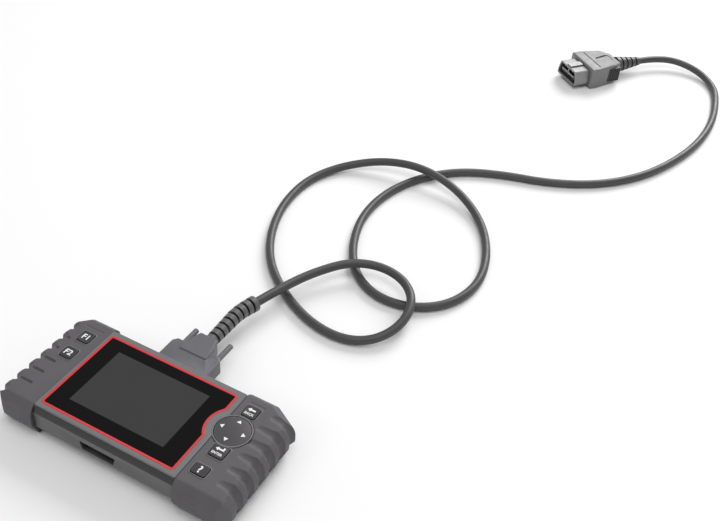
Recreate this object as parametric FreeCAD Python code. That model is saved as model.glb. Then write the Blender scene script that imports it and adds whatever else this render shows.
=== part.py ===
"""Handheld OBD code reader with its vehicle lead, built as separate pieces.

Frame: millimetres, +Z up, +X along the length of the handset (function keys at -X, arrow pad at +X),
+Y from the user's edge to the cable edge.  The origin is at the bottom centre of the handset, on the
surface it rests on.  The lead lies on the same surface behind the handset.
"""
import FreeCAD
import Part
import math
import os

V = FreeCAD.Vector

# ---------------------------------------------------------------- overall sizes of the handset
LENGTH = 207.0              # over both end grips, along X
DEPTH = 103.0               # over the grips, along Y
DECK_Z = 33.0               # top of the display frame above the surface

# ---------------------------------------------------------------- case
LEFT_GRIP_L = 36.1          # how far each grip reaches in from its end of the handset
RIGHT_GRIP_L = 44.9
FRONT_STEP = 3.5            # the bare middle of the case stands back from the grips
BACK_STEP = 5.0
MID_LEFT = LEFT_GRIP_L - LENGTH / 2
MID_RIGHT = LENGTH / 2 - RIGHT_GRIP_L
MID_FRONT = FRONT_STEP - DEPTH / 2
MID_BACK = DEPTH / 2 - BACK_STEP
MID_BOTTOM = 3.5
SEAM_Z = 26.0               # joint between the lower and the upper case
WALL = 2.2
DECK_T = 2.0                # top plate of the upper case under the display frame
FRAME_T = 1.6               # display frame
BAND_SET_BACK = 2.2         # the dark band slopes back by this much above the seam
TONGUE_INSET = 5.0          # how far the case ends stay inside the grips
TONGUE_END = 9.0            # the case ends stop this far short of the ends of the grips
TONGUE_BOTTOM = 6.5
TONGUE_TOP = 30.0

# ---------------------------------------------------------------- end grips
GRIP_TOP = 32.5
GRIP_BULGE_HIGH = 21.0      # the grips are widest between these two heights
GRIP_BULGE_LOW = 12.5
GRIP_FOOT_IN = 6.0          # the foot of the grip stands in by this much
GRIP_SHOULDER_Z = 27.0
GRIP_SHOULDER_IN = 1.2
GRIP_TOP_IN = 6.5           # where the flat top begins, inside the widest line
GRIP_FIT = 0.05             # grip over case end
CORNER_FRONT = 9.0          # corner cut of both grips at the front
CORNER_BACK_LEFT = 11.0     # corner cut at the back of the left grip
CORNER_BACK_X = 21.0        # long corner cut at the back of the right grip
CORNER_BACK_Y = 12.0
GROOVE_R = 4.6
GROOVE_DEPTH = 2.7          # depth of each finger groove at the rim and down the end
GROOVE_START = 1.0          # its depth where it begins on the top
GROOVE_PITCH_LEFT = 12.6
GROOVE_FIRST_LEFT = -43.4
GROOVE_PITCH_RIGHT = 13.6
GROOVE_FIRST_RIGHT = -33.0
GROOVE_REACH_RIGHT = (9.0, 9.8, 10.2, 14.0, 13.0, 9.2)      # how far each one comes in over the top
SLOT_REACH_LEFT = (0.0, 13.0, 13.0, 13.0, 5.0, 5.0, 0.0)    # the left grip has narrow slots instead
SLOT_R = 1.4
SLOT_DEPTH = 1.3
LINE_R = 1.2                # shallow line behind the rear key of each grip
LINE_DEPTH = 0.5
LINE_LEFT = (-90.0, 18.0, 37.5)     # start x, length, y
LINE_RIGHT = (64.0, 13.0, 39.0)

# ---------------------------------------------------------------- display
TRIM_X = (MID_LEFT + MID_RIGHT) / 2 - 1.0
TRIM_Y = (MID_FRONT + MID_BACK) / 2 - 0.55
TRIM_HALF_X = (MID_RIGHT - MID_LEFT) / 2 - 3.6
TRIM_HALF_Y = (MID_BACK - MID_FRONT) / 2 - 6.65
LCD_X = TRIM_X - 1.1
LCD_Y = TRIM_Y + 0.8
LCD_W = 2 * TRIM_HALF_X - 22.8
LCD_D = 2 * TRIM_HALF_Y - 16.2
LCD_T = 3.0
TRIM_W = 2.0
TRIM_CORNER = 3.0
TRIM_PROUD = 0.15
WINDOW_DROP = 0.1
SEAT_FIT = 0.05             # gap round pieces that are bonded or snapped into a seat
RIBBON_W = 26.0

# ---------------------------------------------------------------- arrow pad and keys
PAD_X = MID_RIGHT + 10.1
PAD_Y = 9.2
PAD_R = 13.6
PAD_TOP = 33.9
PAD_T = 3.2
PAD_GAP = 0.45
RING_W = 1.0
PAD_ARC_R = PAD_R + 6.4     # the red trim bends round the pad at this radius
PAD_LEG_AT = PAD_R - 4.1
PAD_LEG_R = 1.4
KEY_TOP = 33.7
KEY_TRAVEL = 1.0
KEY_GAP = 0.3
KEY_CORNER = 1.8
KEY_FLANGE = 1.1            # the flange under the case stands out by this much
KEY_FLANGE_T = 1.1
ENTER_CLIP = 0.9            # gap between the pad's ring and the clipped corner of the enter key
KEYS = {                    # centre x, centre y, width, depth
    "key_f1": (MID_LEFT - 13.1, 26.5, 11.0, 11.0),
    "key_f2": (MID_LEFT - 13.1, 6.9, 11.0, 11.0),
    "key_back": (PAD_X + 1.5, 30.6, 11.5, 11.0),
    "key_enter": (PAD_X + 2.5, -11.3, 12.4, 11.5),
    "key_help": (PAD_X + 0.8, -31.2, 12.0, 9.0),
}
LIP_W = 0.9                 # raised lip of the grip round each key
LIP_H = 0.35

# ---------------------------------------------------------------- boards
UPPER_BOARD_Z = 20.0
LOWER_BOARD_Z = 12.0
BOARD_T = 1.6
DOME_TOP = 24.9
MAT_T = 1.2
LEFT_MAT = (MID_LEFT - 13.1, 15.7, 15.0, 32.0)          # centre x, centre y, width, depth
RIGHT_MAT = (PAD_X + 1.3, 0.0, 27.0, DEPTH - 23.0)
UPPER_BOARD = (0.0, -1.0, LENGTH - 24.0, DEPTH - 23.0)
MAIN_BOARD_X = (MID_LEFT + 10.4, MID_RIGHT - 11.6)
CASE_SCREWS = [(MID_LEFT + 7.4, MID_FRONT + 10.0), (MID_RIGHT - 8.6, MID_FRONT + 10.0),
               (MID_LEFT + 7.4, MID_BACK - 9.5), (MID_RIGHT - 8.6, MID_BACK - 9.5)]
LOWER_BOARD_SCREWS = [(MID_LEFT + 17.4, MID_FRONT + 18.0), (MID_RIGHT - 18.6, MID_FRONT + 18.0),
                      (MID_LEFT + 17.4, MID_BACK - 16.5), (MID_RIGHT - 18.6, MID_BACK - 16.5)]
UPPER_BOARD_SCREWS = [(16.5 - LENGTH / 2, -20.0), (LENGTH / 2 - 16.5, -22.0),
                      (16.5 - LENGTH / 2, 36.0), (LENGTH / 2 - 16.5, 22.0)]
CONNECTOR_X = 22.0          # plug-together connector between the boards
CONNECTOR_Y = MID_FRONT + 26.0
BUZZER_X = MID_LEFT - 6.6
BUZZER_Y = -24.0
BUZZER_R = 6.0
CHIP_SPAN = 126.0           # chips are placed for a case middle this long and spread with it

# ---------------------------------------------------------------- front recess with USB and card slot
RECESS_X = -8.75
RECESS_W = 32.5
RECESS_TAPER = 2.5
RECESS_LOW = 12.9
RECESS_HIGH = 20.9
RECESS_FLOOR_Y = MID_FRONT + 5.0
USB_X = -17.0
CARD_X = -3.0
CARD_W = 11.0
CARD_L = 15.0
CARD_T = 1.0
CARD_PROUD = 2.0

# ---------------------------------------------------------------- 15-way port and cable hood
PORT_X = -5.0
PORT_Z = 19.5
SCREW_SPACING = 33.3
POST_R = 2.75               # corner radius of the hexagonal jack posts
FLANGE_W = 39.2
FLANGE_H = 12.5
FLANGE_T = 0.8
SHELL_W = 25.6
SHELL_H = 9.0
SHELL_WALL = 0.45
SHELL_OUT = 6.0
PIN_PITCH = 2.77
PIN_ROW = 2.84
PIN_R = 0.5
HOOD_W = 46.0
HOOD_H = 13.8
HOOD_GAP = 0.3
HOOD_SHOULDER_Y = MID_BACK + 23.5
HOOD_END_Y = MID_BACK + 37.5
SCREW_R = 1.42
SCREW_FIT = 0.06
KNOB_R = 2.35
KNOB_L = 23.0

# ---------------------------------------------------------------- lead
CORD_D = 8.0
LIE = CORD_D / 2 + 0.05     # height of the lead's centre where it lies on the surface
OVER = 15.0                 # height of its centre where it passes over itself
PLUG_AXIS_Z = 12.6          # height of the plug's axis, lying on its wide side
BOOT_R0 = CORD_D / 2 + 1.6
BOOT_R1 = CORD_D / 2 + 3.0
BOOT_RIBS = 9
BOOT_GAP_DEPTH = 1.5        # depth of the gaps between the ribs of the boot
BOOT_MARKS = 10             # each rib and its gap are this many parts long
BOOT_RIB_MARKS = 7          # and the rib takes this many of them
ROUTE = [
    (-0.8, 143.0, 18.6), (7, 176, 16.5), (19, 209, OVER), (39, 239, OVER), (66, 249, OVER),
    (93, 242, OVER), (111, 220.5, OVER), (113.5, 192.5, 11), (99, 168.5, 5.5), (73, 157.5, LIE),
    (38, 163, LIE), (0, 184, LIE), (-31, 212, LIE), (-53, 250, LIE), (-66, 295, LIE),
    (-66, 341, LIE), (-46, 381, 5.5), (-9, 403, 13), (33, 408, 16), (75, 400, 9), (112, 372, LIE),
    (136, 330, LIE), (146, 286, LIE),
    (135, 247, LIE), (107, 224, LIE), (73, 221, LIE), (42, 240, LIE), (20, 277, LIE), (8, 321, LIE),
    (11, 366, LIE), (28, 407, LIE), (57, 440, LIE), (97, 460, LIE), (143, 473, LIE), (187, 499, LIE),
    (221, 538, LIE), (243, 585, LIE), (257, 636, LIE), (261, 688, LIE), (255, 737, LIE),
    (243, 780, LIE), (211, 806, 7.5), (171, 800, PLUG_AXIS_Z), (148, 771, PLUG_AXIS_Z),
]

# ---------------------------------------------------------------- vehicle plug, 16 way
PLUG_W = 48.0
PLUG_T = 25.0
PLUG_BOOT_L = 36.0
PLUG_BOOT_RIBS = 5
PLUG_BOOT_SHARE = 0.72      # share of each pitch that the rib takes
PLUG_BOOT_GAP = 1.5         # depth of the gaps between the ribs
PLUG_BOOT_GROWS = 5.0       # the ribs grow by this much along the boot
PLUG_BODY_L = 48.0
PLUG_WAIST = 12.0           # half width of the plug's body at its back
PLUG_TAPER_X = 12.0         # the taper is steep this far, then slow up to the collar
PLUG_TAPER_Y = 19.0
PLUG_COLLAR = 9.0
PLUG_GRIP_X = (6.0, 22.0)   # dark side inserts, from the back of the body
PLUG_GRIP_IN = 13.0         # how far their inner and outer faces are from the plug's axis
PLUG_GRIP_OUT = 21.8
PLUG_GRIP_HALF_H = 8.5
NOSE_L = 19.0
NOSE_WIDE = 38.0
NOSE_NARROW = 32.0
NOSE_H = 17.6
NOSE_WALL = 1.8
NOSE_FLOOR = 3.0
BLADE_PITCH = 4.0
BLADE_ROW = 8.4

# ================================================================ small helpers


def box(x0, x1, y0, y1, z0, z1):
    """A block between pairs of coordinates."""
    return Part.makeBox(x1 - x0, y1 - y0, z1 - z0, V(x0, y0, z0))


def rod(r, start, axis, length):
    """A cylinder from a start point along an axis."""
    return Part.makeCylinder(r, length, V(*start), V(*axis))


def fuse(shapes):
    """One solid made of several that touch or overlap."""
    whole = shapes[0].multiFuse(shapes[1:]) if len(shapes) > 1 else shapes[0]
    return whole.removeSplitter()


def rounded(points, radii):
    """A closed wire through points, with an arc of its own radius at each corner."""
    corners = [V(*p) for p in points]
    edges = []
    ends = []
    for i, corner in enumerate(corners):
        before = (corners[i - 1] - corner)
        after = (corners[(i + 1) % len(corners)] - corner)
        before.normalize()
        after.normalize()
        r = radii[i]
        half = before.getAngle(after) / 2
        cut = r / math.tan(half)
        first, last = corner + before * cut, corner + after * cut
        if r > 0:
            middle = before + after
            middle.normalize()
            top = corner + middle * (r / math.sin(half) - r)
            edges.append((i, Part.Arc(first, top, last).toShape()))
        ends.append((first, last))
    wires = []
    for i in range(len(corners)):
        wires += [edge for at, edge in edges if at == i]
        start, end = ends[i][1], ends[(i + 1) % len(corners)][0]
        if start.distanceToPoint(end) > 1e-6:
            wires.append(Part.LineSegment(start, end).toShape())
    return Part.Wire(wires)


def prism(points, radii, direction):
    """A straight solid with a rounded outline."""
    return Part.Face(rounded(points, radii)).extrude(V(*direction))


def plate(x, y, w, d, r, z0, z1):
    """A flat plate with rounded corners, given by its centre and size."""
    hx, hy = w / 2, d / 2
    outline = [(x - hx, y - hy, z0), (x + hx, y - hy, z0), (x + hx, y + hy, z0), (x - hx, y + hy, z0)]
    return prism(outline, [r] * 4, (0, 0, z1 - z0))


def edges_where(shape, test):
    """The edges whose middle point passes a test."""
    found = []
    for edge in shape.Edges:
        middle = edge.valueAt((edge.FirstParameter + edge.LastParameter) / 2)
        if test(middle, edge):
            found.append(edge)
    return found


# ================================================================ case and grips


def grip_outline(side, inset):
    """Plan of one end of the handset, from its middle out, moved in by inset."""
    end = LENGTH / 2
    half = DEPTH / 2
    if side < 0:
        back_x, back_y = CORNER_BACK_LEFT, CORNER_BACK_LEFT
    else:
        back_x, back_y = CORNER_BACK_X, CORNER_BACK_Y
    front = CORNER_FRONT
    points = [
        V(0, -half, 0), V(end - front, -half, 0), V(end, front - half, 0),
        V(end, half - back_y, 0), V(end - back_x, half, 0), V(0, half, 0),
    ]
    face = Part.Face(Part.makePolygon(points + points[:1]))
    if inset:
        face = face.makeOffset2D(-inset, join=2)
    if side < 0:
        face = face.mirror(V(0, 0, 0), V(1, 0, 0))
    return face


def grip_section():
    """The bulged outline of a grip seen along its edge: distance inward and height."""
    return [
        (GRIP_FOOT_IN, 0.0), (0.0, GRIP_BULGE_LOW), (0.0, GRIP_BULGE_HIGH),
        (GRIP_SHOULDER_IN, GRIP_SHOULDER_Z), (GRIP_TOP_IN, GRIP_TOP),
    ]


def grip_block(side):
    """The outer shape of one grip: its plan, cut by the bulged section on each outer side."""
    block = grip_outline(side, 0).extrude(V(0, 0, GRIP_TOP))
    inner = MID_RIGHT if side > 0 else MID_LEFT
    far = side * (LENGTH / 2 + 20)
    block = block.common(box(min(inner, far), max(inner, far), -DEPTH, DEPTH, 0, GRIP_TOP))
    section = grip_section()
    half = DEPTH / 2
    depth_points = [(-200, inward - half, z) for inward, z in section]
    depth_points += [(-200, half - inward, z) for inward, z in reversed(section)]
    block = block.common(prism(depth_points, [0, 9, 9, 5, 2.5, 2.5, 5, 9, 9, 0], (400, 0, 0)))
    end = LENGTH / 2
    end_points = [(side * (end - inward), -200, z) for inward, z in section]
    end_points += [(0, -200, GRIP_TOP), (0, -200, 0)]
    block = block.common(prism(end_points, [0, 9, 9, 5, 2.5, 0, 0], (0, 400, 0)))
    if side < 0:
        cut_x, cut_y = CORNER_BACK_LEFT, CORNER_BACK_LEFT
    else:
        cut_x, cut_y = CORNER_BACK_X, CORNER_BACK_Y
    slope = math.degrees(math.atan2(cut_y, cut_x))
    corner = corner_prism(section, side, slope, V(side * (end - cut_x), half, 0))
    return block.common(corner)


def corner_prism(section, side, slope, at):
    """A long solid with the bulged section along a slanted corner, for the back of a grip."""
    points = [(-200, -inward, z) for inward, z in section]
    points += [(-200, -150, GRIP_TOP), (-200, -150, 0)]
    solid = prism(points, [0, 9, 9, 5, 2.5, 0, 0], (400, 0, 0))
    solid.rotate(V(0, 0, 0), V(0, 0, 1), -side * slope)
    solid.translate(at)
    return solid


def end_path(side, y, reach, start_depth, depth, radius):
    """The centre line of a groove: out over the top of a grip, over its rim and down its end."""
    lift = radius - depth
    end = LENGTH / 2
    corners = [(end - inward, z) for inward, z in reversed(grip_section())]
    normals = [(0.0, 1.0)]
    for (x0, z0), (x1, z1) in zip(corners[:-1], corners[1:]):
        run = math.hypot(x1 - x0, z1 - z0)
        normals.append(((z0 - z1) / run, (x1 - x0) / run))
    path = [(end - GRIP_TOP_IN - reach, GRIP_TOP + radius - start_depth)]
    for (x, z), before, after in zip(corners[:-1], normals[:-1], normals[1:]):
        share = lift / (1 + before[0] * after[0] + before[1] * after[1])
        path.append((x + share * (before[0] + after[0]), z + share * (before[1] + after[1])))
    last_x, last_z = corners[-1]
    path.append((last_x + lift * normals[-1][0], last_z + lift * normals[-1][1]))
    return [V(side * x, y, z) for x, z in path]


def grooves(side):
    """The finger grooves of one grip: round channels over the top, the rim and the end."""
    cuts = []
    if side < 0:
        places = [(GROOVE_FIRST_LEFT + GROOVE_PITCH_LEFT * i, 0.6) for i in range(len(SLOT_REACH_LEFT))]
    else:
        places = [(GROOVE_FIRST_RIGHT + GROOVE_PITCH_RIGHT * i, reach)
                  for i, reach in enumerate(GROOVE_REACH_RIGHT)]
    for y, reach in places:
        path = end_path(side, y, reach, GROOVE_START, GROOVE_DEPTH, GROOVE_R)
        wire = cord_wire(path)[0]
        circle = Part.Wire(Part.makeCircle(GROOVE_R, path[0], path[1] - path[0]))
        cuts.append(wire.makePipeShell([circle], True, False))
        cuts.append(Part.makeSphere(GROOVE_R, path[0]))
    flat_end = LENGTH / 2 - GRIP_TOP_IN
    if side < 0:
        for i, reach in enumerate(SLOT_REACH_LEFT):
            if reach > 0:
                y = GROOVE_FIRST_LEFT + GROOVE_PITCH_LEFT * i
                start = (side * (flat_end - reach), y, GRIP_TOP + SLOT_R - SLOT_DEPTH)
                cuts += [rod(SLOT_R, start, (side, 0, 0), reach + 2), Part.makeSphere(SLOT_R, V(*start))]
    x, run, y = LINE_LEFT if side < 0 else LINE_RIGHT
    cuts.append(rod(LINE_R, (x, y, GRIP_TOP + LINE_R - LINE_DEPTH), (1, 0, 0), run))
    return cuts


def key_cap_outline(name, grow, z0, z1):
    """The upright shape of a key, grown all round; the enter key is clipped by the arrow pad."""
    x, y, w, d = KEYS[name]
    cap = plate(x, y, w + 2 * grow, d + 2 * grow, KEY_CORNER + max(grow, 0) * 0.5, z0, z1)
    if name == "key_enter":
        clear = PAD_R + PAD_GAP + RING_W + ENTER_CLIP - grow
        cap = cap.cut(rod(clear, (PAD_X, PAD_Y, z0 - 1), (0, 0, 1), z1 - z0 + 2))
        sharp = edges_where(cap, lambda p, e: abs(math.hypot(p.x - PAD_X, p.y - PAD_Y) - clear) < 0.01
                            and abs(e.tangentAt(e.FirstParameter).z) > 0.99)
        cap = cap.makeFillet(KEY_CORNER * 0.7, sharp) if sharp else cap
    return cap


def tongue(side, inset, z0, z1):
    """The part of the case that goes inside one grip."""
    plan = grip_outline(side, inset).extrude(V(0, 0, z1 - z0))
    plan.translate(V(0, 0, z0))
    inner = MID_RIGHT if side > 0 else MID_LEFT
    far = side * (LENGTH / 2 - TONGUE_END - inset + TONGUE_INSET)
    return plan.common(box(min(inner, far), max(inner, far), -DEPTH, DEPTH, z0, z1))


def make_grip(side):
    """One rubber end grip, with its pocket for the case and its key openings."""
    solid = grip_block(side)
    lips = []
    names = [n for n in KEYS if (KEYS[n][0] > 0) == (side > 0)]
    for name in names:
        lips.append(key_cap_outline(name, KEY_GAP + LIP_W, GRIP_TOP - 1, GRIP_TOP + LIP_H))
    pocket = tongue(side, TONGUE_INSET - GRIP_FIT, TONGUE_BOTTOM - GRIP_FIT, TONGUE_TOP)
    solid = solid.fuse(lips)
    solid = solid.cut(grooves(side))
    solid = solid.cut(pocket)
    for name in names:
        solid = solid.cut(key_cap_outline(name, KEY_GAP, TONGUE_TOP - 1, GRIP_TOP + 2))
    if side > 0:
        ring_r = PAD_R + PAD_GAP + RING_W + SEAT_FIT
        solid = solid.cut(rod(ring_r, (PAD_X, PAD_Y, TONGUE_TOP - 1), (0, 0, 1), 10))
    return solid.removeSplitter()


def mid_prism(inset, z0, z1):
    """The middle of the case between two heights, moved in by inset."""
    low, foot = MID_BOTTOM, 5.0
    left, right = MID_LEFT, MID_RIGHT
    front, back = MID_FRONT + inset, MID_BACK - inset
    top = DECK_Z - FRAME_T
    low += inset
    points = [
        (left, front + foot, low), (left, front, low + foot * 1.3), (left, front, SEAM_Z),
        (left, front + BAND_SET_BACK, top), (left, back - BAND_SET_BACK, top), (left, back, SEAM_Z),
        (left, back, low + foot * 1.3), (left, back - foot, low),
    ]
    solid = prism(points, [3, 4, 0, 0, 0, 0, 4, 3], (right - left, 0, 0))
    return solid.common(box(left, right, -DEPTH, DEPTH, z0, z1))


def make_lower_case():
    """The lower half of the case: floor, walls, bosses, front recess and the port opening."""
    top = SEAM_Z
    solid = mid_prism(0, MID_BOTTOM, top)
    solid = solid.fuse([tongue(s, TONGUE_INSET, TONGUE_BOTTOM, top) for s in (-1, 1)])
    hollow = mid_prism(WALL, MID_BOTTOM + WALL, top)
    inner_ends = [tongue(s, TONGUE_INSET + WALL, TONGUE_BOTTOM + WALL, top) for s in (-1, 1)]
    bridges = [box(x - 4, x + 4, MID_FRONT + WALL + 3, MID_BACK - WALL - 3, TONGUE_BOTTOM + WALL, top)
               for x in (MID_LEFT, MID_RIGHT)]
    solid = solid.cut([hollow] + inner_ends + bridges)
    posts = [rod(3.8, (x, y, MID_BOTTOM + 1), (0, 0, 1), top - MID_BOTTOM - 1) for x, y in CASE_SCREWS]
    posts += [rod(3.0, (x, y, MID_BOTTOM + 1), (0, 0, 1), LOWER_BOARD_Z - MID_BOTTOM - 1)
              for x, y in LOWER_BOARD_SCREWS]
    well = box(RECESS_X - RECESS_W / 2 - 2, RECESS_X + RECESS_W / 2 + 2, MID_FRONT + 1,
               RECESS_FLOOR_Y + 2, RECESS_LOW - 2, RECESS_HIGH + 1.6)
    solid = solid.fuse(posts + [well])
    cuts = [recess_prism(0)]
    cuts.append(box(USB_X - 4.05, USB_X + 4.05, RECESS_FLOOR_Y - 1, RECESS_FLOOR_Y + 3,
                    usb_low() - 0.15, usb_low() + 4.05))
    cuts.append(box(CARD_X - CARD_W / 2 - 0.4, CARD_X + CARD_W / 2 + 0.4, RECESS_FLOOR_Y - 1,
                    RECESS_FLOOR_Y + 3, card_low() - 0.4, card_low() + CARD_T + 0.4))
    cuts.append(port_opening())
    for x, y in CASE_SCREWS:
        cuts.append(rod(1.4, (x, y, 0), (0, 0, 1), 40))
        cuts.append(rod(2.9, (x, y, 0), (0, 0, 1), MID_BOTTOM + 3))
    for x, y in LOWER_BOARD_SCREWS:
        cuts.append(rod(1.0, (x, y, MID_BOTTOM + 2), (0, 0, 1), 10))
    for i in range(6):
        cuts.append(plate(22 + 4.0 * i, -8.0, 1.6, 26.0, 0.75, MID_BOTTOM - 1, MID_BOTTOM + WALL + 1))
    return solid.cut(cuts).removeSplitter()


def recess_prism(margin):
    """The front recess, wider at its top, with a margin all round."""
    hw = RECESS_W / 2 - margin
    low, high = RECESS_LOW + margin, RECESS_HIGH - margin
    y0 = MID_FRONT - 2
    points = [
        (RECESS_X - hw + RECESS_TAPER, y0, low), (RECESS_X + hw - RECESS_TAPER, y0, low),
        (RECESS_X + hw, y0, high), (RECESS_X - hw, y0, high),
    ]
    return prism(points, [1.2] * 4, (0, RECESS_FLOOR_Y - y0, 0))


def usb_low():
    """Underside of the USB socket, on the lower board."""
    return LOWER_BOARD_Z + BOARD_T


def card_low():
    """Underside of the memory card, inside its reader."""
    return LOWER_BOARD_Z + BOARD_T + 0.7


def port_opening():
    """The opening in the back wall for the 15-way port and its two jack posts."""
    points = [(PORT_X + sx * 20.4, MID_BACK - 6, PORT_Z + sz * 5.4)
              for sx, sz in ((-1, -1), (1, -1), (1, 1), (-1, 1))]
    return prism(points, [2.0] * 4, (0, 12, 0))


def make_upper_case():
    """The upper half of the case: sloped band, top deck, key and display openings, bosses."""
    top = DECK_Z - FRAME_T
    solid = mid_prism(0, SEAM_Z, top)
    solid = solid.fuse([tongue(s, TONGUE_INSET, SEAM_Z, TONGUE_TOP) for s in (-1, 1)])
    hollow = mid_prism(WALL, SEAM_Z, top - DECK_T)
    inner_ends = [tongue(s, TONGUE_INSET + WALL, SEAM_Z, TONGUE_TOP - WALL) for s in (-1, 1)]
    bridges = [box(x - 4, x + 4, MID_FRONT + WALL + 4, MID_BACK - WALL - 4, SEAM_Z, TONGUE_TOP - WALL)
               for x in (MID_LEFT, MID_RIGHT)]
    solid = solid.cut([hollow] + inner_ends + bridges)
    board_top = UPPER_BOARD_Z + BOARD_T
    posts = [rod(3.0, (x, y, board_top), (0, 0, 1), TONGUE_TOP - 1 - board_top)
             for x, y in UPPER_BOARD_SCREWS]
    posts += [rod(3.4, (x, y, SEAM_Z), (0, 0, 1), top - 1 - SEAM_Z) for x, y in CASE_SCREWS]
    solid = solid.fuse(posts)
    cuts = [plate(LCD_X, LCD_Y, LCD_W + 1, LCD_D + 1, 1.0, SEAM_Z - 1, top + 1)]
    for name in KEYS:
        cuts.append(key_cap_outline(name, KEY_GAP, SEAM_Z - 1, top + 1))
    cuts.append(rod(PAD_R + PAD_GAP, (PAD_X, PAD_Y, SEAM_Z - 1), (0, 0, 1), 10))
    ring_r = PAD_R + PAD_GAP + RING_W + SEAT_FIT
    cuts.append(rod(ring_r, (PAD_X, PAD_Y, TONGUE_TOP), (0, 0, 1), 10))
    for x, y in CASE_SCREWS:
        cuts.append(rod(1.1, (x, y, SEAM_Z - 1), (0, 0, 1), 4.5))
    for x, y in UPPER_BOARD_SCREWS:
        cuts.append(rod(0.9, (x, y, board_top - 1), (0, 0, 1), 6))
    return solid.cut(cuts).removeSplitter()


# ================================================================ display stack


def trim_prism(inset, z0, z1):
    """The outline of the red trim moved in by inset: a rectangle with a bay for the arrow pad."""
    body = plate(TRIM_X, TRIM_Y, 2 * (TRIM_HALF_X - inset), 2 * (TRIM_HALF_Y - inset),
                 max(TRIM_CORNER - inset, 0.8), z0, z1)
    arc_r = PAD_ARC_R + inset
    body = body.cut(rod(arc_r, (PAD_X, PAD_Y, z0 - 1), (0, 0, 1), z1 - z0 + 2))
    edge_x = TRIM_X + TRIM_HALF_X - inset
    reach = math.sqrt(arc_r ** 2 - (PAD_X - edge_x) ** 2)
    corners = edges_where(body, lambda p, e: abs(p.x - edge_x) < 0.01
                          and abs(abs(p.y - PAD_Y) - reach) < 0.01 and e.Length > 0.9 * (z1 - z0))
    return body.makeFillet(4.0 - min(inset, 1.0), corners)


def make_bezel_frame():
    """The light frame round the window, with its bay for the arrow pad's ring."""
    z0 = DECK_Z - FRAME_T
    x0, x1 = MID_LEFT + 0.1, MID_RIGHT - 0.1
    y0, y1 = MID_FRONT + BAND_SET_BACK + 0.3, MID_BACK - BAND_SET_BACK - 0.3
    body = plate((x0 + x1) / 2, (y0 + y1) / 2, x1 - x0, y1 - y0, 1.2, z0, DECK_Z)
    body = body.makeChamfer(0.5, edges_where(body, lambda p, e: abs(p.z - DECK_Z) < 1e-4))
    ring_r = PAD_R + PAD_GAP + RING_W + SEAT_FIT
    opening = trim_prism(-SEAT_FIT, z0 - 1, DECK_Z + 1)
    return body.cut([opening, rod(ring_r, (PAD_X, PAD_Y, z0 - 1), (0, 0, 1), 6)]).removeSplitter()


def make_red_trim():
    """The thin red line round the window, a little proud of the frame."""
    z0 = DECK_Z - FRAME_T
    outer = trim_prism(0, z0, DECK_Z + TRIM_PROUD)
    return outer.cut(trim_prism(TRIM_W, z0 - 1, DECK_Z + 1))


def make_display_window():
    """The dark clear window over the display."""
    return trim_prism(TRIM_W + SEAT_FIT, DECK_Z - FRAME_T, DECK_Z - WINDOW_DROP)


def make_lcd_panel():
    """The display glass, just under the window."""
    top = DECK_Z - FRAME_T - 0.1
    return plate(LCD_X, LCD_Y, LCD_W, LCD_D, 0.6, top - LCD_T, top)


def make_lcd_carrier():
    """The metal tray behind the display, with four lugs up to the deck."""
    glass_low = DECK_Z - FRAME_T - 0.1 - LCD_T
    floor = plate(LCD_X, LCD_Y, LCD_W + 6, LCD_D + 6, 1.0, glass_low - 1.2, glass_low - 0.05)
    deck_low = DECK_Z - FRAME_T - DECK_T
    lugs = [box(LCD_X + sx * (LCD_W / 2 + 1.9) - 0.9, LCD_X + sx * (LCD_W / 2 + 1.9) + 0.9,
                LCD_Y + sy * 26 - 5, LCD_Y + sy * 26 + 5, glass_low - 0.1, deck_low)
            for sx in (-1, 1) for sy in (-1, 1)]
    edge, half = LCD_X - LCD_W / 2, RIBBON_W / 2 + 1
    way_out = box(edge - 10, edge - 1.0, -half, half, UPPER_BOARD_Z, TONGUE_TOP)
    return fuse([floor] + lugs).cut(way_out)


def make_display_ribbon():
    """The flat ribbon from the display down to the upper board."""
    x0 = LCD_X - LCD_W / 2
    top = DECK_Z - FRAME_T - 0.1 - LCD_T + 0.6
    low = UPPER_BOARD_Z + BOARD_T
    path = [(x0, top), (x0 - 1.4, top), (x0 - 4.6, top - 2.2), (x0 - 4.6, low + 1.2), (x0 + 6, low)]
    thick = 0.3
    y = -RIBBON_W / 2
    outer = [V(px, y, z) for px, z in path]
    inner = [V(x0, y, top - thick), V(x0 - 1.3, y, top - thick), V(x0 - 4.3, y, top - 2.4),
             V(x0 - 4.3, y, low + 1.5), V(x0 + 6, y, low + thick)]
    ring = outer + inner[::-1]
    return Part.Face(Part.makePolygon(ring + ring[:1])).extrude(V(0, RIBBON_W, 0))


# ================================================================ keys and arrow pad


def make_key(name):
    """One key cap with its retaining flange and its plunger."""
    x, y = KEYS[name][:2]
    under = TONGUE_TOP - WALL - 0.1
    cap = key_cap_outline(name, 0, under - 0.5, KEY_TOP)
    crown = edges_where(cap, lambda p, e: abs(p.z - KEY_TOP) < 1e-4)
    cap = cap.makeFillet(0.6, crown)
    flange = key_cap_outline(name, KEY_FLANGE, under - KEY_FLANGE_T, under)
    plunger = rod(1.6, (x, y, DOME_TOP + KEY_TRAVEL + 0.4), (0, 0, 1), 2)
    return fuse([cap, flange, plunger])


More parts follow.
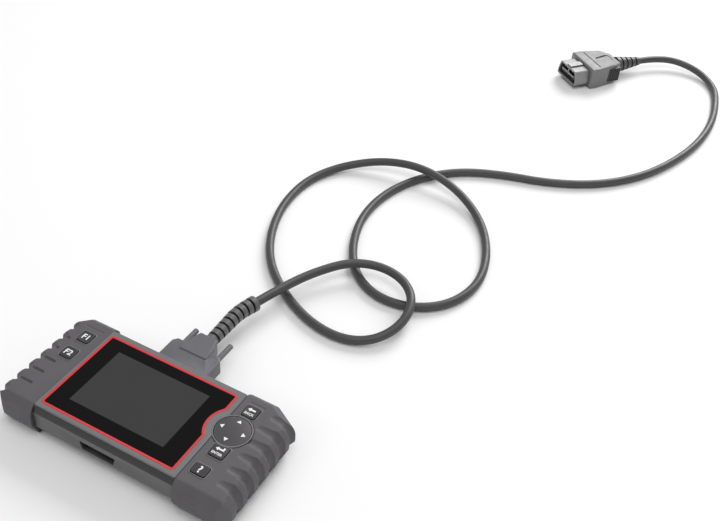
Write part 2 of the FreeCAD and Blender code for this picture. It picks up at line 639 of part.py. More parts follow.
def make_pad_disc():
    """The round arrow pad: a shallow dome with four legs and a socket for its pivot."""
    base = PAD_TOP - PAD_T
    body = rod(PAD_R, (PAD_X, PAD_Y, base), (0, 0, 1), PAD_T)
    dome_r = 90.0
    dome = Part.makeSphere(dome_r, V(PAD_X, PAD_Y, PAD_TOP - dome_r))
    rim = edges_where(body, lambda p, e: abs(p.z - PAD_TOP) < 1e-4)
    body = body.makeFillet(1.0, rim).common(dome)
    legs = []
    for turn in range(4):
        angle = math.radians(90 * turn)
        at = (PAD_X + PAD_LEG_AT * math.cos(angle), PAD_Y + PAD_LEG_AT * math.sin(angle),
              DOME_TOP + 1.4)
        legs.append(rod(PAD_LEG_R, at, (0, 0, 1), base - DOME_TOP - 1.0))
    hub = rod(3.6, (PAD_X, PAD_Y, pad_pivot_z() + 0.5), (0, 0, 1), base - pad_pivot_z())
    solid = fuse([body, hub] + legs)
    socket = Part.makeSphere(2.05, V(PAD_X, PAD_Y, pad_pivot_z()))
    throat = rod(2.05, (PAD_X, PAD_Y, pad_pivot_z() - 6), (0, 0, 1), 6)
    return solid.cut([socket, throat])


def pad_pivot_z():
    """Height of the centre the arrow pad rocks about."""
    return PAD_TOP - PAD_T - 1.2


def make_pad_pivot():
    """The ball that the arrow pad rocks on."""
    return Part.makeSphere(2.0, V(PAD_X, PAD_Y, pad_pivot_z()))


def make_pad_post():
    """The post on the upper board that carries the pivot ball in a cup."""
    low = UPPER_BOARD_Z + BOARD_T
    top = pad_pivot_z() - 0.9
    post = rod(1.7, (PAD_X, PAD_Y, low), (0, 0, 1), top - low)
    foot = rod(3.2, (PAD_X, PAD_Y, low), (0, 0, 1), 1.2)
    return fuse([post, foot]).cut(Part.makeSphere(2.05, V(PAD_X, PAD_Y, pad_pivot_z())))


def make_pad_ring():
    """The light ring round the arrow pad."""
    outer = rod(PAD_R + PAD_GAP + RING_W, (PAD_X, PAD_Y, TONGUE_TOP), (0, 0, 1), DECK_Z + 0.1 - TONGUE_TOP)
    outer = outer.makeFillet(0.3, edges_where(outer, lambda p, e: p.z > DECK_Z))
    return outer.cut(rod(PAD_R + PAD_GAP, (PAD_X, PAD_Y, 0), (0, 0, 1), 60))


def make_keymat(side):
    """One silicone key mat with a dome under each switch place."""
    low = UPPER_BOARD_Z + BOARD_T
    names = [n for n in KEYS if (KEYS[n][0] > 0) == (side > 0)]
    if side < 0:
        mat = plate(*LEFT_MAT, 2, low, low + MAT_T)
        domes = [KEYS[n][:2] for n in names]
    else:
        mat = plate(*RIGHT_MAT, 2, low, low + MAT_T)
        domes = [KEYS[n][:2] for n in names]
        domes += [(PAD_X + PAD_LEG_AT * math.cos(math.radians(90 * i)),
                   PAD_Y + PAD_LEG_AT * math.sin(math.radians(90 * i))) for i in range(4)]
    cones = [Part.makeCone(3.0, 1.9, DOME_TOP - low - 0.5, V(x, y, low + 0.5)) for x, y in domes]
    mat = fuse([mat] + cones)
    if side > 0:
        mat = mat.cut(rod(3.4, (PAD_X, PAD_Y, low - 1), (0, 0, 1), 10))
    return mat


# ================================================================ boards and what is on them


def make_upper_board():
    """The board that carries the display, the key mats and the buzzer."""
    x, y, width, depth = UPPER_BOARD
    board = plate(x, y, width, depth, 2.0, UPPER_BOARD_Z, UPPER_BOARD_Z + BOARD_T)
    cuts = [rod(4.6, (x, y, UPPER_BOARD_Z - 1), (0, 0, 1), 5) for x, y in CASE_SCREWS]
    cuts.append(box(PORT_X - 21, PORT_X + 21, MID_BACK - 20.5, DEPTH, UPPER_BOARD_Z - 1, UPPER_BOARD_Z + 3))
    cuts += [rod(1.2, (x, y, UPPER_BOARD_Z - 1), (0, 0, 1), 5) for x, y in UPPER_BOARD_SCREWS]
    for sx, sy, size in ((1, 1, 8.0), (1, -1, 2.5), (-1, 1, 2.5), (-1, -1, 2.5)):
        wedge = Part.makeBox(size * 2, size * 2, 5, V(-size, -size, 0))
        wedge.rotate(V(0, 0, 0), V(0, 0, 1), 45)
        wedge.translate(V(x + sx * width / 2, y + sy * depth / 2, UPPER_BOARD_Z - 1))
        cuts.append(wedge)
    return board.cut(cuts)


def make_main_board():
    """The lower board with the processor, the port, the USB socket and the card reader."""
    front = RECESS_FLOOR_Y + 2.3
    board = box(*MAIN_BOARD_X, front, MID_BACK - 6.0, LOWER_BOARD_Z, LOWER_BOARD_Z + BOARD_T)
    cuts = [rod(4.6, (x, y, LOWER_BOARD_Z - 1), (0, 0, 1), 5) for x, y in CASE_SCREWS]
    cuts += [rod(1.2, (x, y, LOWER_BOARD_Z - 1), (0, 0, 1), 5) for x, y in LOWER_BOARD_SCREWS]
    return board.cut(cuts)


def chip(x, y, width, depth, base, height):
    """A block on a board; its place moves with the length of the case."""
    at = x * (MID_RIGHT - MID_LEFT) / CHIP_SPAN
    return box(at - width / 2, at + width / 2, y - depth / 2, y + depth / 2, base, base + height)


def make_board_components():
    """Chips, coils and capacitors on both boards, as one group of solids."""
    top = LOWER_BOARD_Z + BOARD_T
    parts = [
        chip(-4, -8, 16, 16, top, 1.4), chip(20, -13, 12, 9, top, 1.2),
        chip(20, 1, 12, 10, top, 1.2), chip(-35, -13, 10, 10, top, 4.0),
        chip(-38, 8, 8, 8, top, 1.0), chip(-23, 10, 6, 8, top, 1.0),
        chip(32, 15, 8, 6, top, 2.2),
    ]
    parts += [rod(2.6, (-44 + 7 * i, -2.5, top), (0, 0, 1), 5.0) for i in range(2)]
    parts += [chip(-18.75 + 5 * i, 17.5, 2.5, 3, top, 1.0) for i in range(6)]
    upper = UPPER_BOARD_Z + BOARD_T
    parts += [chip(-36, -21, 8, 6, upper, 1.2), chip(25, -5, 10, 10, upper, 1.4)]
    parts += [chip(-9 + 4 * i, -21.25, 2, 1.5, upper, 0.8) for i in range(6)]
    return Part.makeCompound(parts)


def make_board_connector():
    """The plug-together connector between the two boards."""
    low = LOWER_BOARD_Z + BOARD_T
    lower = plate(CONNECTOR_X, CONNECTOR_Y, 26.0, 5.0, 0.6, low, low + 3.2)
    upper = plate(CONNECTOR_X, CONNECTOR_Y, 24.0, 3.8, 0.4, low + 3.2, UPPER_BOARD_Z)
    return fuse([lower, upper])


def make_buzzer():
    """The round sounder on the upper board."""
    low = UPPER_BOARD_Z + BOARD_T
    body = rod(BUZZER_R, (BUZZER_X, BUZZER_Y, low), (0, 0, 1), 4.5)
    return body.cut(rod(1.0, (BUZZER_X, BUZZER_Y, low + 2.5), (0, 0, 1), 4))


def make_usb_socket():
    """The small USB socket in the front recess: a folded shell with its tongue."""
    low = usb_low()
    y0, y1 = RECESS_FLOOR_Y + 0.1, RECESS_FLOOR_Y + 9.2
    shell = plate_xz(USB_X, low + 1.95, 7.7, 3.9, 0.8, y0, y1)
    shell = shell.cut(plate_xz(USB_X, low + 1.95, 6.9, 3.1, 0.5, y0 - 1, y1 - 1))
    tongue_bar = box(USB_X - 1.9, USB_X + 1.9, y0 + 1.2, y1 - 0.5, low + 1.6, low + 2.4)
    return fuse([shell, tongue_bar])


def plate_xz(x, z, w, h, r, y0, y1):
    """A rounded block that runs along Y, given by its centre and size in the XZ plane."""
    points = [(x - w / 2, y0, z - h / 2), (x + w / 2, y0, z - h / 2),
              (x + w / 2, y0, z + h / 2), (x - w / 2, y0, z + h / 2)]
    return prism(points, [r] * 4, (0, y1 - y0, 0))


def make_card_reader():
    """The memory card reader on the lower board."""
    low = LOWER_BOARD_Z + BOARD_T
    y0, y1 = RECESS_FLOOR_Y + 2.3, RECESS_FLOOR_Y + 17.0
    body = box(CARD_X - 7.2, CARD_X + 7.2, y0, y1, low, low + 2.4)
    slot = box(CARD_X - CARD_W / 2 - 0.3, CARD_X + CARD_W / 2 + 0.3, y0 - 1, y1 - 1.5,
               card_low() - 0.3, card_low() + CARD_T + 0.3)
    return body.cut(slot)


def make_memory_card():
    """The memory card, with its thumb ridge proud of the recess floor."""
    y0 = RECESS_FLOOR_Y - CARD_PROUD
    x0, x1 = CARD_X - CARD_W / 2, CARD_X + CARD_W / 2
    z0 = card_low()
    points = [(x0, y0, z0), (x1, y0, z0), (x1, y0 + CARD_L - 5, z0), (x1 - 1.6, y0 + CARD_L - 3.6, z0),
              (x1 - 1.6, y0 + CARD_L, z0), (x0, y0 + CARD_L, z0)]
    return prism(points, [0.6, 0.6, 0.3, 0.3, 0.3, 0.5], (0, 0, CARD_T))


# ================================================================ 15-way port and cable hood


def d_outline(w, h, y, grow):
    """The D-shaped outline of the connector in the XZ plane at y."""
    hw, hh = w / 2 + grow, h / 2 + grow
    lean = h * math.tan(math.radians(10)) / 2
    points = [(PORT_X - hw + lean, y, PORT_Z - hh), (PORT_X + hw - lean, y, PORT_Z - hh),
              (PORT_X + hw + lean, y, PORT_Z + hh), (PORT_X - hw - lean, y, PORT_Z + hh)]
    return points, [2.4 + grow] * 4


def d_block(w, h, grow, y0, y1):
    """A D-shaped block along Y."""
    points, radii = d_outline(w, h, y0, grow)
    return prism(points, radii, (0, y1 - y0, 0))


def pin_places():
    """The centres of the 15 contacts: eight above seven."""
    upper = [(PORT_X + PIN_PITCH * (i - 3.5), PORT_Z + PIN_ROW / 2) for i in range(8)]
    lower = [(PORT_X + PIN_PITCH * (i - 3.0), PORT_Z - PIN_ROW / 2) for i in range(7)]
    return upper + lower


def port_face():
    """Y of the front of the port's flange, inside the back wall."""
    return MID_BACK - WALL - 0.1


def mate_face():
    """Y of the front of the cable connector's flange when plugged in."""
    return port_face() + SHELL_OUT + 0.35


def make_port_shell():
    """The metal flange and D-shaped shell of the port."""
    y = port_face()
    flange = plate_xz(PORT_X, PORT_Z, FLANGE_W, FLANGE_H, 1.5, y - FLANGE_T, y)
    shell = d_block(SHELL_W, SHELL_H, 0, y - FLANGE_T, y + SHELL_OUT)
    body = fuse([flange, shell])
    cuts = [d_block(SHELL_W, SHELL_H, -SHELL_WALL, y - 2, y + SHELL_OUT + 1)]
    cuts += [rod(1.6, (PORT_X + s * SCREW_SPACING / 2, y - 3, PORT_Z), (0, 1, 0), 6) for s in (-1, 1)]
    return body.cut(cuts)


def make_port_insulator():
    """The moulded block behind the port, standing on the lower board."""
    y = port_face()
    block = box(PORT_X - 14.8, PORT_X + 14.8, y - 12, y - FLANGE_T - 0.05,
                LOWER_BOARD_Z + BOARD_T, PORT_Z + 5.2)
    nose = d_block(SHELL_W, SHELL_H, -SHELL_WALL - 0.05, y - FLANGE_T - 0.1, y + 0.2)
    block = fuse([block, nose])
    return block.cut([rod(PIN_R, (x, y - 20, z), (0, 1, 0), 30) for x, z in pin_places()])


def make_port_pins():
    """The 15 pins of the port, as one group."""
    y = port_face()
    return Part.makeCompound([rod(PIN_R, (x, y - 11.5, z), (0, 1, 0), 11.5 + SHELL_OUT - 1.0)
                              for x, z in pin_places()])


def make_jack_posts():
    """The two threaded hexagon posts that the thumbscrews go into."""
    y = port_face()
    posts = []
    for s in (-1, 1):
        x = PORT_X + s * SCREW_SPACING / 2
        turns = [math.radians(60 * i) for i in range(6)]
        corner = [V(x + POST_R * math.cos(a), y, PORT_Z + POST_R * math.sin(a)) for a in turns]
        hexagon = Part.Face(Part.makePolygon(corner + corner[:1])).extrude(V(0, 5.2, 0))
        stud = rod(1.5, (x, y - 5, PORT_Z), (0, 1, 0), 5.2)
        posts.append(fuse([hexagon, stud]).cut(rod(SCREW_R + SCREW_FIT, (x, y - 3.5, PORT_Z), (0, 1, 0), 12)))
    return Part.makeCompound(posts)


def make_hood():
    """The moulded hood of the cable connector: wide body, shoulders and a tapered collar."""
    y0 = MID_BACK + HOOD_GAP
    hw = HOOD_W / 2
    plan = [(-hw, y0), (hw, y0), (hw, HOOD_SHOULDER_Y - 4), (hw - 3.2, HOOD_SHOULDER_Y),
            (-hw + 3.2, HOOD_SHOULDER_Y), (-hw, HOOD_SHOULDER_Y - 4)]
    z0, z1 = PORT_Z - HOOD_H / 2, PORT_Z + HOOD_H / 2
    body = prism([(PORT_X + x, y, z0) for x, y in plan], [1.0, 1.0, 1.5, 1.5, 1.5, 1.5], (0, 0, HOOD_H))
    rims = edges_where(body, lambda p, e: abs(p.z - z0) < 1e-4 or abs(p.z - z1) < 1e-4)
    body = body.makeFillet(1.3, rims)
    inset = [(-13.0, HOOD_SHOULDER_Y - 9), (13.0, HOOD_SHOULDER_Y - 9), (12.2, HOOD_SHOULDER_Y),
             (8.2, HOOD_END_Y), (-8.2, HOOD_END_Y), (-12.2, HOOD_SHOULDER_Y)]
    rise = 0.9
    collar = prism([(PORT_X + x, y, z0 - rise) for x, y in inset], [1.5, 1.5, 3, 2.5, 2.5, 3],
                   (0, 0, HOOD_H + 2 * rise))
    rims = edges_where(collar, lambda p, e: abs(p.z - z0 + rise) < 1e-4 or abs(p.z - z1 - rise) < 1e-4)
    collar = collar.makeFillet(1.2, rims)
    hood = fuse([body, collar])
    y = mate_face()
    cuts = [plate_xz(PORT_X, PORT_Z, HOOD_W - 5.0, HOOD_H - 3.0, 1.5, y0 - 1, y - 0.05),
            plate_xz(PORT_X, PORT_Z, FLANGE_W + 0.4, FLANGE_H - 0.6, 0.8, y - 0.1, y + FLANGE_T + 0.05),
            plate_xz(PORT_X, PORT_Z, 28.0, HOOD_H - 4.0, 1.5, y, y + 14.0),
            rod(CORD_D / 2 + 0.05, (PORT_X, y + 13.0, PORT_Z), (0, 1, 0), 40)]
    cuts += [rod(SCREW_R + 0.4, (PORT_X + s * SCREW_SPACING / 2, y0 - 2, PORT_Z), (0, 1, 0), 40)
             for s in (-1, 1)]
    cuts += [rod(KNOB_R + 0.35, (PORT_X + s * SCREW_SPACING / 2, HOOD_SHOULDER_Y - 3.0, PORT_Z), (0, 1, 0), 8)
             for s in (-1, 1)]
    return hood.cut(cuts)


def make_hood_shell():
    """The metal flange and shell of the cable's connector, inside the port's shell."""
    y = mate_face()
    flange = plate_xz(PORT_X, PORT_Z, FLANGE_W, FLANGE_H - 1.0, 0.8, y, y + FLANGE_T)
    grow = -SHELL_WALL - 0.15
    shell = d_block(SHELL_W, SHELL_H, grow, y - SHELL_OUT + 0.4, y + FLANGE_T)
    body = fuse([flange, shell])
    cuts = [d_block(SHELL_W, SHELL_H, grow - SHELL_WALL, y - SHELL_OUT, y + FLANGE_T + 1)]
    cuts += [rod(SCREW_R + 0.3, (PORT_X + s * SCREW_SPACING / 2, y - 3, PORT_Z), (0, 1, 0), 6)
             for s in (-1, 1)]
    return body.cut(cuts)


def make_hood_insulator():
    """The moulded block that holds the cable's 15 contacts."""
    y = mate_face()
    grow = -2 * SHELL_WALL - 0.2
    block = d_block(SHELL_W, SHELL_H, grow, y - SHELL_OUT + 0.6, y + 8.0)
    cuts = [rod(PIN_R + 0.15, (x, y - SHELL_OUT - 2, z), (0, 1, 0), SHELL_OUT + 3) for x, z in pin_places()]
    cuts += [rod(PIN_R + 0.1, (x, y + 1.5, z), (0, 1, 0), 8) for x, z in pin_places()]
    return block.cut(cuts)


def make_hood_contacts():
    """The 15 cable contacts with their solder tails, as one group."""
    y = mate_face()
    return Part.makeCompound([rod(PIN_R + 0.05, (x, y + 1.6, z), (0, 1, 0), 9.0) for x, z in pin_places()])


def make_thumbscrew(side):
    """One thumbscrew: threaded end, shank and a long knurled knob."""
    x = PORT_X + side * SCREW_SPACING / 2
    start = port_face() + 1.0
    knob_y = HOOD_SHOULDER_Y - 2.6
    shaft = rod(SCREW_R, (x, start, PORT_Z), (0, 1, 0), knob_y - start + 1)
    knob = rod(KNOB_R, (x, knob_y, PORT_Z), (0, 1, 0), KNOB_L)
    knob = knob.makeFillet(1.3, edges_where(knob, lambda p, e: p.y > knob_y + KNOB_L - 1e-4))
    flutes = []
    for i in range(12):
        angle = math.radians(30 * i)
        at = (x + (KNOB_R + 0.25) * math.cos(angle), knob_y + 5, PORT_Z + (KNOB_R + 0.25) * math.sin(angle))
        flutes.append(rod(0.4, at, (0, 1, 0), KNOB_L))
    return fuse([shaft, knob.cut(flutes)])


def make_cable_boot():
    """The ribbed strain relief from the hood's collar to the lead, along a slight bend."""
    start = V(PORT_X, HOOD_END_Y, PORT_Z)
    end = V(*ROUTE[0])
    onward = V(*ROUTE[1]) - end
    onward.normalize()
    straight = (end - start).Length * 0.33
    middle_wire, _ = cord_wire([start, start + V(0, straight, 0), end - onward * straight, end])
    core_r = BOOT_R0 - BOOT_GAP_DEPTH
    circle = Part.Wire(Part.makeCircle(core_r, start, V(0, 1, 0)))
    core = middle_wire.makePipeShell([circle], True, False)
    marks = middle_wire.discretize(Number=(BOOT_RIBS - 1) * BOOT_MARKS + BOOT_RIB_MARKS + 1)
    ribs = []
    for i in range(BOOT_RIBS):
        a, b = marks[i * BOOT_MARKS], marks[i * BOOT_MARKS + BOOT_RIB_MARKS]
        along = b - a
        reach = along.Length
        along.normalize()
        radius = BOOT_R0 + (BOOT_R1 - BOOT_R0) * i / (BOOT_RIBS - 1)
        ribs.append(Part.makeCylinder(radius, reach, a, along))
    return fuse([core] + ribs)


# ================================================================ lead


def cord_wire(points):
    """Straight runs joined by tangent arcs, each arc as large as its two runs allow."""
    corners = [V(*p) for p in points]
    edges = []
    at = corners[0]
    radii = []
    for before, corner, after in zip(corners[:-2], corners[1:-1], corners[2:]):
        back, onward = before - corner, after - corner
        shorter = min(back.Length, onward.Length)
        back.normalize()
        onward.normalize()
        turn = math.pi - back.getAngle(onward)
        cut = 0.45 * shorter
        radius = cut / math.tan(turn / 2)
        radii.append(radius)
        first, last = corner + back * cut, corner + onward * cut
        middle = back + onward
        middle.normalize()
        top = corner + middle * (radius / math.cos(turn / 2) - radius)
        edges.append(Part.LineSegment(at, first).toShape())
        edges.append(Part.Arc(first, top, last).toShape())
        at = last
    edges.append(Part.LineSegment(at, corners[-1]).toShape())
    return Part.Wire(edges), radii


def make_lead_cord():
    """The lead: one tube along its whole route."""
    wire, radii = cord_wire(ROUTE)
    start = V(*ROUTE[0])
    along = V(*ROUTE[1]) - start
    circle = Part.Wire(Part.makeCircle(CORD_D / 2, start, along))
    tube = wire.makePipeShell([circle], True, False)
    print("lead length %.1f, radii %.1f to %.1f" % (wire.Length, min(radii), max(radii)))
    expected = math.pi * CORD_D ** 2 / 4 * wire.Length
    print("lead volume %.0f, section times length %.0f, valid %s" % (tube.Volume, expected, tube.isValid()))
    return tube


# ================================================================ vehicle plug


def plug_place(shape):
    """Moves a piece from the plug's own frame, +X out of its face, to where the plug lies."""
    end = V(*ROUTE[-1])
    along = end - V(*ROUTE[-2])
    placed = shape.copy()
    placed.rotate(V(0, 0, 0), V(0, 0, 1), math.degrees(math.atan2(along.y, along.x)))
    placed.translate(V(end.x, end.y, 0))
    return placed


def make_plug_boot():
    """The ribbed strain relief at the back of the plug."""
    length = PLUG_BOOT_L
    slim = CORD_D / 2 + 1.0
    profile = [(0, 0), (0, slim)]
    pitch = length / PLUG_BOOT_RIBS
    for i in range(PLUG_BOOT_RIBS):
        x, r = pitch * i, slim + PLUG_BOOT_GROWS * i / PLUG_BOOT_RIBS
        step = pitch * PLUG_BOOT_GROWS / length
        profile += [(x, r), (x + pitch * PLUG_BOOT_SHARE, r + step * PLUG_BOOT_SHARE)]
        profile += [(x + pitch * PLUG_BOOT_SHARE, r - PLUG_BOOT_GAP), (x + pitch, r + step - PLUG_BOOT_GAP)]
    profile += [(length, 0)]
    points = [V(x, 0, PLUG_AXIS_Z + r) for x, r in profile]
    clean = [p for i, p in enumerate(points) if i == 0 or p.distanceToPoint(points[i - 1]) > 1e-6]
    face = Part.Face(Part.makePolygon(clean + clean[:1]))
    return face.revolve(V(0, 0, PLUG_AXIS_Z), V(1, 0, 0), 360)


def make_plug_body():
    """The moulded grip of the plug: tapered rear, thumb recess and a line groove on its wide side."""
    x0 = PLUG_BOOT_L
    x1 = x0 + PLUG_BODY_L
    hw = PLUG_W / 2
    low = PLUG_AXIS_Z - PLUG_T / 2
    plan = [(x0, -PLUG_WAIST), (x0 + PLUG_TAPER_X, -PLUG_TAPER_Y), (x1 - PLUG_COLLAR, -hw), (x1, -hw),
            (x1, hw), (x1 - PLUG_COLLAR, hw), (x0 + PLUG_TAPER_X, PLUG_TAPER_Y), (x0, PLUG_WAIST)]
    body = prism([(x, y, low) for x, y in plan], [3, 10, 10, 2.5, 2.5, 10, 10, 3], (0, 0, PLUG_T))
    side = [(x0 - 1, low + 3.4), (x0 + 14, low), (x1 + 1, low), (x1 + 1, low + PLUG_T),
            (x0 + 14, low + PLUG_T), (x0 - 1, low + PLUG_T - 3.4)]
    body = body.common(prism([(x, -40, z) for x, z in side], [0, 12, 0, 0, 12, 0], (0, 80, 0)))
    rims = edges_where(body, lambda p, e: abs(abs(p.z - PLUG_AXIS_Z) - PLUG_T / 2) < 0.01
                       and abs(p.y) > 15)
    body = body.makeFillet(2.2, [e for e in rims if e.Length > 20])
    top = PLUG_AXIS_Z + PLUG_T / 2
    thumb = prism([(x0 + 8, -7, top - 1.8), (x0 + 29, -3, top - 1.0), (x0 + 29, 3, top - 1.0),
                   (x0 + 8, 7, top - 1.8)], [2.0, 2.5, 2.5, 2.0], (0, 0, 4))
    line = box(x1 - 14, x1 - 12.8, -hw + 5, hw - 5, top - 0.8, top + 1)
    pockets = [grip_pocket(s, 0.05) for s in (-1, 1)]
    seat = rod(4.0, (x1 - 1, 0, PLUG_AXIS_Z), (1, 0, 0), 3)
    return body.cut([thumb, line, seat] + pockets)


def grip_pocket(side, grow):
    """The block on the side of the plug that the dark grip insert fills."""
    x0, x1 = PLUG_BOOT_L + PLUG_GRIP_X[0], PLUG_BOOT_L + PLUG_GRIP_X[1]
    y0, y1 = sorted((side * (PLUG_GRIP_IN - grow), side * PLUG_W / 2))
    half = PLUG_GRIP_HALF_H + grow
    return box(x0 - grow, x1 + grow, y0, y1, PLUG_AXIS_Z - half, PLUG_AXIS_Z + half)


def make_plug_grip(side):
    """One dark ribbed insert in the side of the plug, proud of the taper."""
    block = grip_pocket(side, 0)
    y0, y1 = sorted((side * PLUG_GRIP_OUT, side * PLUG_W))
    block = block.cut(box(0, PLUG_W * 2, y0, y1, -PLUG_T, PLUG_T * 2))
    rims = edges_where(block, lambda p, e: abs(abs(p.y) - PLUG_GRIP_OUT) < 1e-4)
    block = block.makeFillet(1.5, rims)
    ribs = []
    for i in range(5):
        x = PLUG_BOOT_L + PLUG_GRIP_X[0] + 1.9 + 2.7 * i
        y0, y1 = sorted((side * (PLUG_GRIP_OUT - 1.0), side * PLUG_W))
        ribs.append(box(x, x + 1.2, y0, y1, -PLUG_T, PLUG_T * 2))
    return block.cut(ribs)


def nose_outline(x, grow):
    """The D-shaped outline of the plug's nose in the YZ plane at x, narrow side up."""
    wide, narrow, half = NOSE_WIDE / 2 + grow, NOSE_NARROW / 2 + grow, NOSE_H / 2 + grow
    z = PLUG_AXIS_Z
    return [(x, -wide, z - half), (x, wide, z - half), (x, wide, z - half + 5.0),
            (x, narrow, z + half), (x, -narrow, z + half), (x, -wide, z - half + 5.0)]


def make_plug_nose():
    """The D-shaped nose that goes into the vehicle's socket, with its key tab and centre tongue."""
    x0 = PLUG_BOOT_L + PLUG_BODY_L
    shell = prism(nose_outline(x0, 0), [2.3, 2.3, 1.8, 3.0, 3.0, 1.8], (NOSE_L, 0, 0))
    hollow = prism(nose_outline(x0 + NOSE_FLOOR, -NOSE_WALL), [1.0, 1.0, 1.0, 1.2, 1.2, 1.0],
                   (NOSE_L, 0, 0))
    tab = box(x0 + 1, x0 + NOSE_L - 1, -4.0, 4.0, PLUG_AXIS_Z + NOSE_H / 2 - 0.5,
              PLUG_AXIS_Z + NOSE_H / 2 + 1.6)
    tongue_bar = box(x0 + 1, x0 + NOSE_L - 1.2, -13.0, 13.0, PLUG_AXIS_Z - 1.1, PLUG_AXIS_Z + 1.1)
    web = box(x0 + 1, x0 + NOSE_L - 1.2, -1.0, 1.0, PLUG_AXIS_Z, PLUG_AXIS_Z + NOSE_H / 2 - 1)
    solid = fuse([shell.cut(hollow), tab, tongue_bar, web])
    slots = [box(x0 - 1, x0 + NOSE_FLOOR + 1, y - 0.8, y + 0.8, z - 0.35, z + 0.35)
             for y, z in blade_places()]
    return solid.cut(slots)


def blade_places():
    """The centres of the 16 blades: two rows of eight."""
    return [(BLADE_PITCH * (i - 3.5), PLUG_AXIS_Z + s * BLADE_ROW / 2) for s in (-1, 1) for i in range(8)]


def make_plug_blades():
    """The 16 blades of the plug, as one group."""
    x0 = PLUG_BOOT_L + PLUG_BODY_L
    return Part.makeCompound([box(x0 + 0.1, x0 + NOSE_L - 3.0, y - 0.75, y + 0.75, z - 0.3, z + 0.3)
                              for y, z in blade_places()])


# ================================================================ fasteners


def cap_screw(x, y, z, length, head_r, head_h, shank_r, up):
    """A screw with its head at z and its shank going up (+1) or down (-1)."""
    head = rod(head_r, (x, y, z), (0, 0, up), head_h)
    shank = rod(shank_r, (x, y, z + up * (head_h - 0.1)), (0, 0, up), length)
    socket = rod(head_r * 0.45, (x, y, z - up * 0.1), (0, 0, up), head_h * 0.6)
    return fuse([head, shank]).cut(socket)


def make_case_screws():
    """The screws that hold the two halves of the case together, from below."""
    start = MID_BOTTOM + 0.8
    return Part.makeCompound([cap_screw(x, y, start, SEAM_Z + 3 - start - 2.2, 2.7, 2.2, 1.05, 1)
                              for x, y in CASE_SCREWS])


def make_board_screws():
    """The screws that hold both boards, as one group."""
    lower = [cap_screw(x, y, LOWER_BOARD_Z + BOARD_T + 1.5, 5.0, 2.0, 1.5, 0.95, -1)
             for x, y in LOWER_BOARD_SCREWS]
    upper = [cap_screw(x, y, UPPER_BOARD_Z - 1.5, 5.0, 2.0, 1.5, 0.85, 1) for x, y in UPPER_BOARD_SCREWS]
    return Part.makeCompound(lower + upper)


# ================================================================ all pieces


def build():
    """Every piece of the code reader by name."""
    nodes = {
        "lower_case": make_lower_case(),
        "upper_case": make_upper_case(),
        "left_grip": make_grip(-1),
        "right_grip": make_grip(1),
        "bezel_frame": make_bezel_frame(),
        "red_trim": make_red_trim(),
        "display_window": make_display_window(),
        "lcd_panel": make_lcd_panel(),
        "lcd_carrier": make_lcd_carrier(),
        "display_ribbon": make_display_ribbon(),
        "upper_board": make_upper_board(),
        "main_board": make_main_board(),
        "board_components": make_board_components(),
        "board_connector": make_board_connector(),
        "buzzer": make_buzzer(),
        "left_keymat": make_keymat(-1),
        "right_keymat": make_keymat(1),
        "pad_disc": make_pad_disc(),
        "pad_pivot": make_pad_pivot(),
        "pad_post": make_pad_post(),
        "pad_ring": make_pad_ring(),
        "usb_socket": make_usb_socket(),
        "card_reader": make_card_reader(),
        "memory_card": make_memory_card(),
        "port_shell": make_port_shell(),
        "port_insulator": make_port_insulator(),
        "port_pins": make_port_pins(),
        "jack_posts": make_jack_posts(),
        "case_screws": make_case_screws(),
        "board_screws": make_board_screws(),
        "hood": make_hood(),
        "hood_shell": make_hood_shell(),
        "hood_insulator": make_hood_insulator(),
        "hood_contacts": make_hood_contacts(),
        "thumbscrew_left": make_thumbscrew(-1),
        "thumbscrew_right": make_thumbscrew(1),
        "cable_boot": make_cable_boot(),
        "lead_cord": make_lead_cord(),
        "plug_boot": plug_place(make_plug_boot()),
        "plug_body": plug_place(make_plug_body()),
        "plug_nose": plug_place(make_plug_nose()),
        "plug_blades": plug_place(make_plug_blades()),
        "plug_grip_left": plug_place(make_plug_grip(1)),
        "plug_grip_right": plug_place(make_plug_grip(-1)),
    }
    for name in KEYS:
        nodes[name] = make_key(name)
    return nodes


def main():
    """Writes one STEP file for each piece."""
    os.makedirs("parts", exist_ok=True)
    for name, shape in build().items():
        box_of = shape.BoundBox
        print("%-16s valid %s solids %d volume %9.1f  x %.1f %.1f  y %.1f %.1f  z %.2f %.2f" % (
            name, shape.isValid(), len(shape.Solids), shape.Volume, box_of.XMin, box_of.XMax,
            box_of.YMin, box_of.YMax, box_of.ZMin, box_of.ZMax))
        shape.exportStep(os.path.join("parts", name + ".step"))


main()
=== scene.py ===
"""Looks of a handheld OBD code reader: finishes, softened edges, legends, the lead, light and camera."""

import logging
import math
from dataclasses import dataclass
from enum import Enum
from typing import Callable

import bmesh
import bpy
from mathutils import Euler, Matrix, Vector


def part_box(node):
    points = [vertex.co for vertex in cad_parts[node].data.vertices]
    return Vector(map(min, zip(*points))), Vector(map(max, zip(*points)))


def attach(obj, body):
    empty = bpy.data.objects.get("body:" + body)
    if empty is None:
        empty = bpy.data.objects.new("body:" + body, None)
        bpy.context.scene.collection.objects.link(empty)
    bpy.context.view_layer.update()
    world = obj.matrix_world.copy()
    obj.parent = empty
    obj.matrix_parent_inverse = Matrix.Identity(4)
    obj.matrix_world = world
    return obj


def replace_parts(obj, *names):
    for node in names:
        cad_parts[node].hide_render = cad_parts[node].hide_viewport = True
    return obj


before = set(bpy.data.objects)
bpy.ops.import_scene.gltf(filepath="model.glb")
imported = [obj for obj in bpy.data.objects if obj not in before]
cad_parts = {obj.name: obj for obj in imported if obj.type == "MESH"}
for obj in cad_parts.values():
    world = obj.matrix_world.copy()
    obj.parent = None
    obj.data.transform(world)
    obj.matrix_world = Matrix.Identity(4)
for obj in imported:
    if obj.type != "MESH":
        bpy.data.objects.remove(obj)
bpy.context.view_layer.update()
LOG = logging.getLogger("code_reader")
MM = 0.001

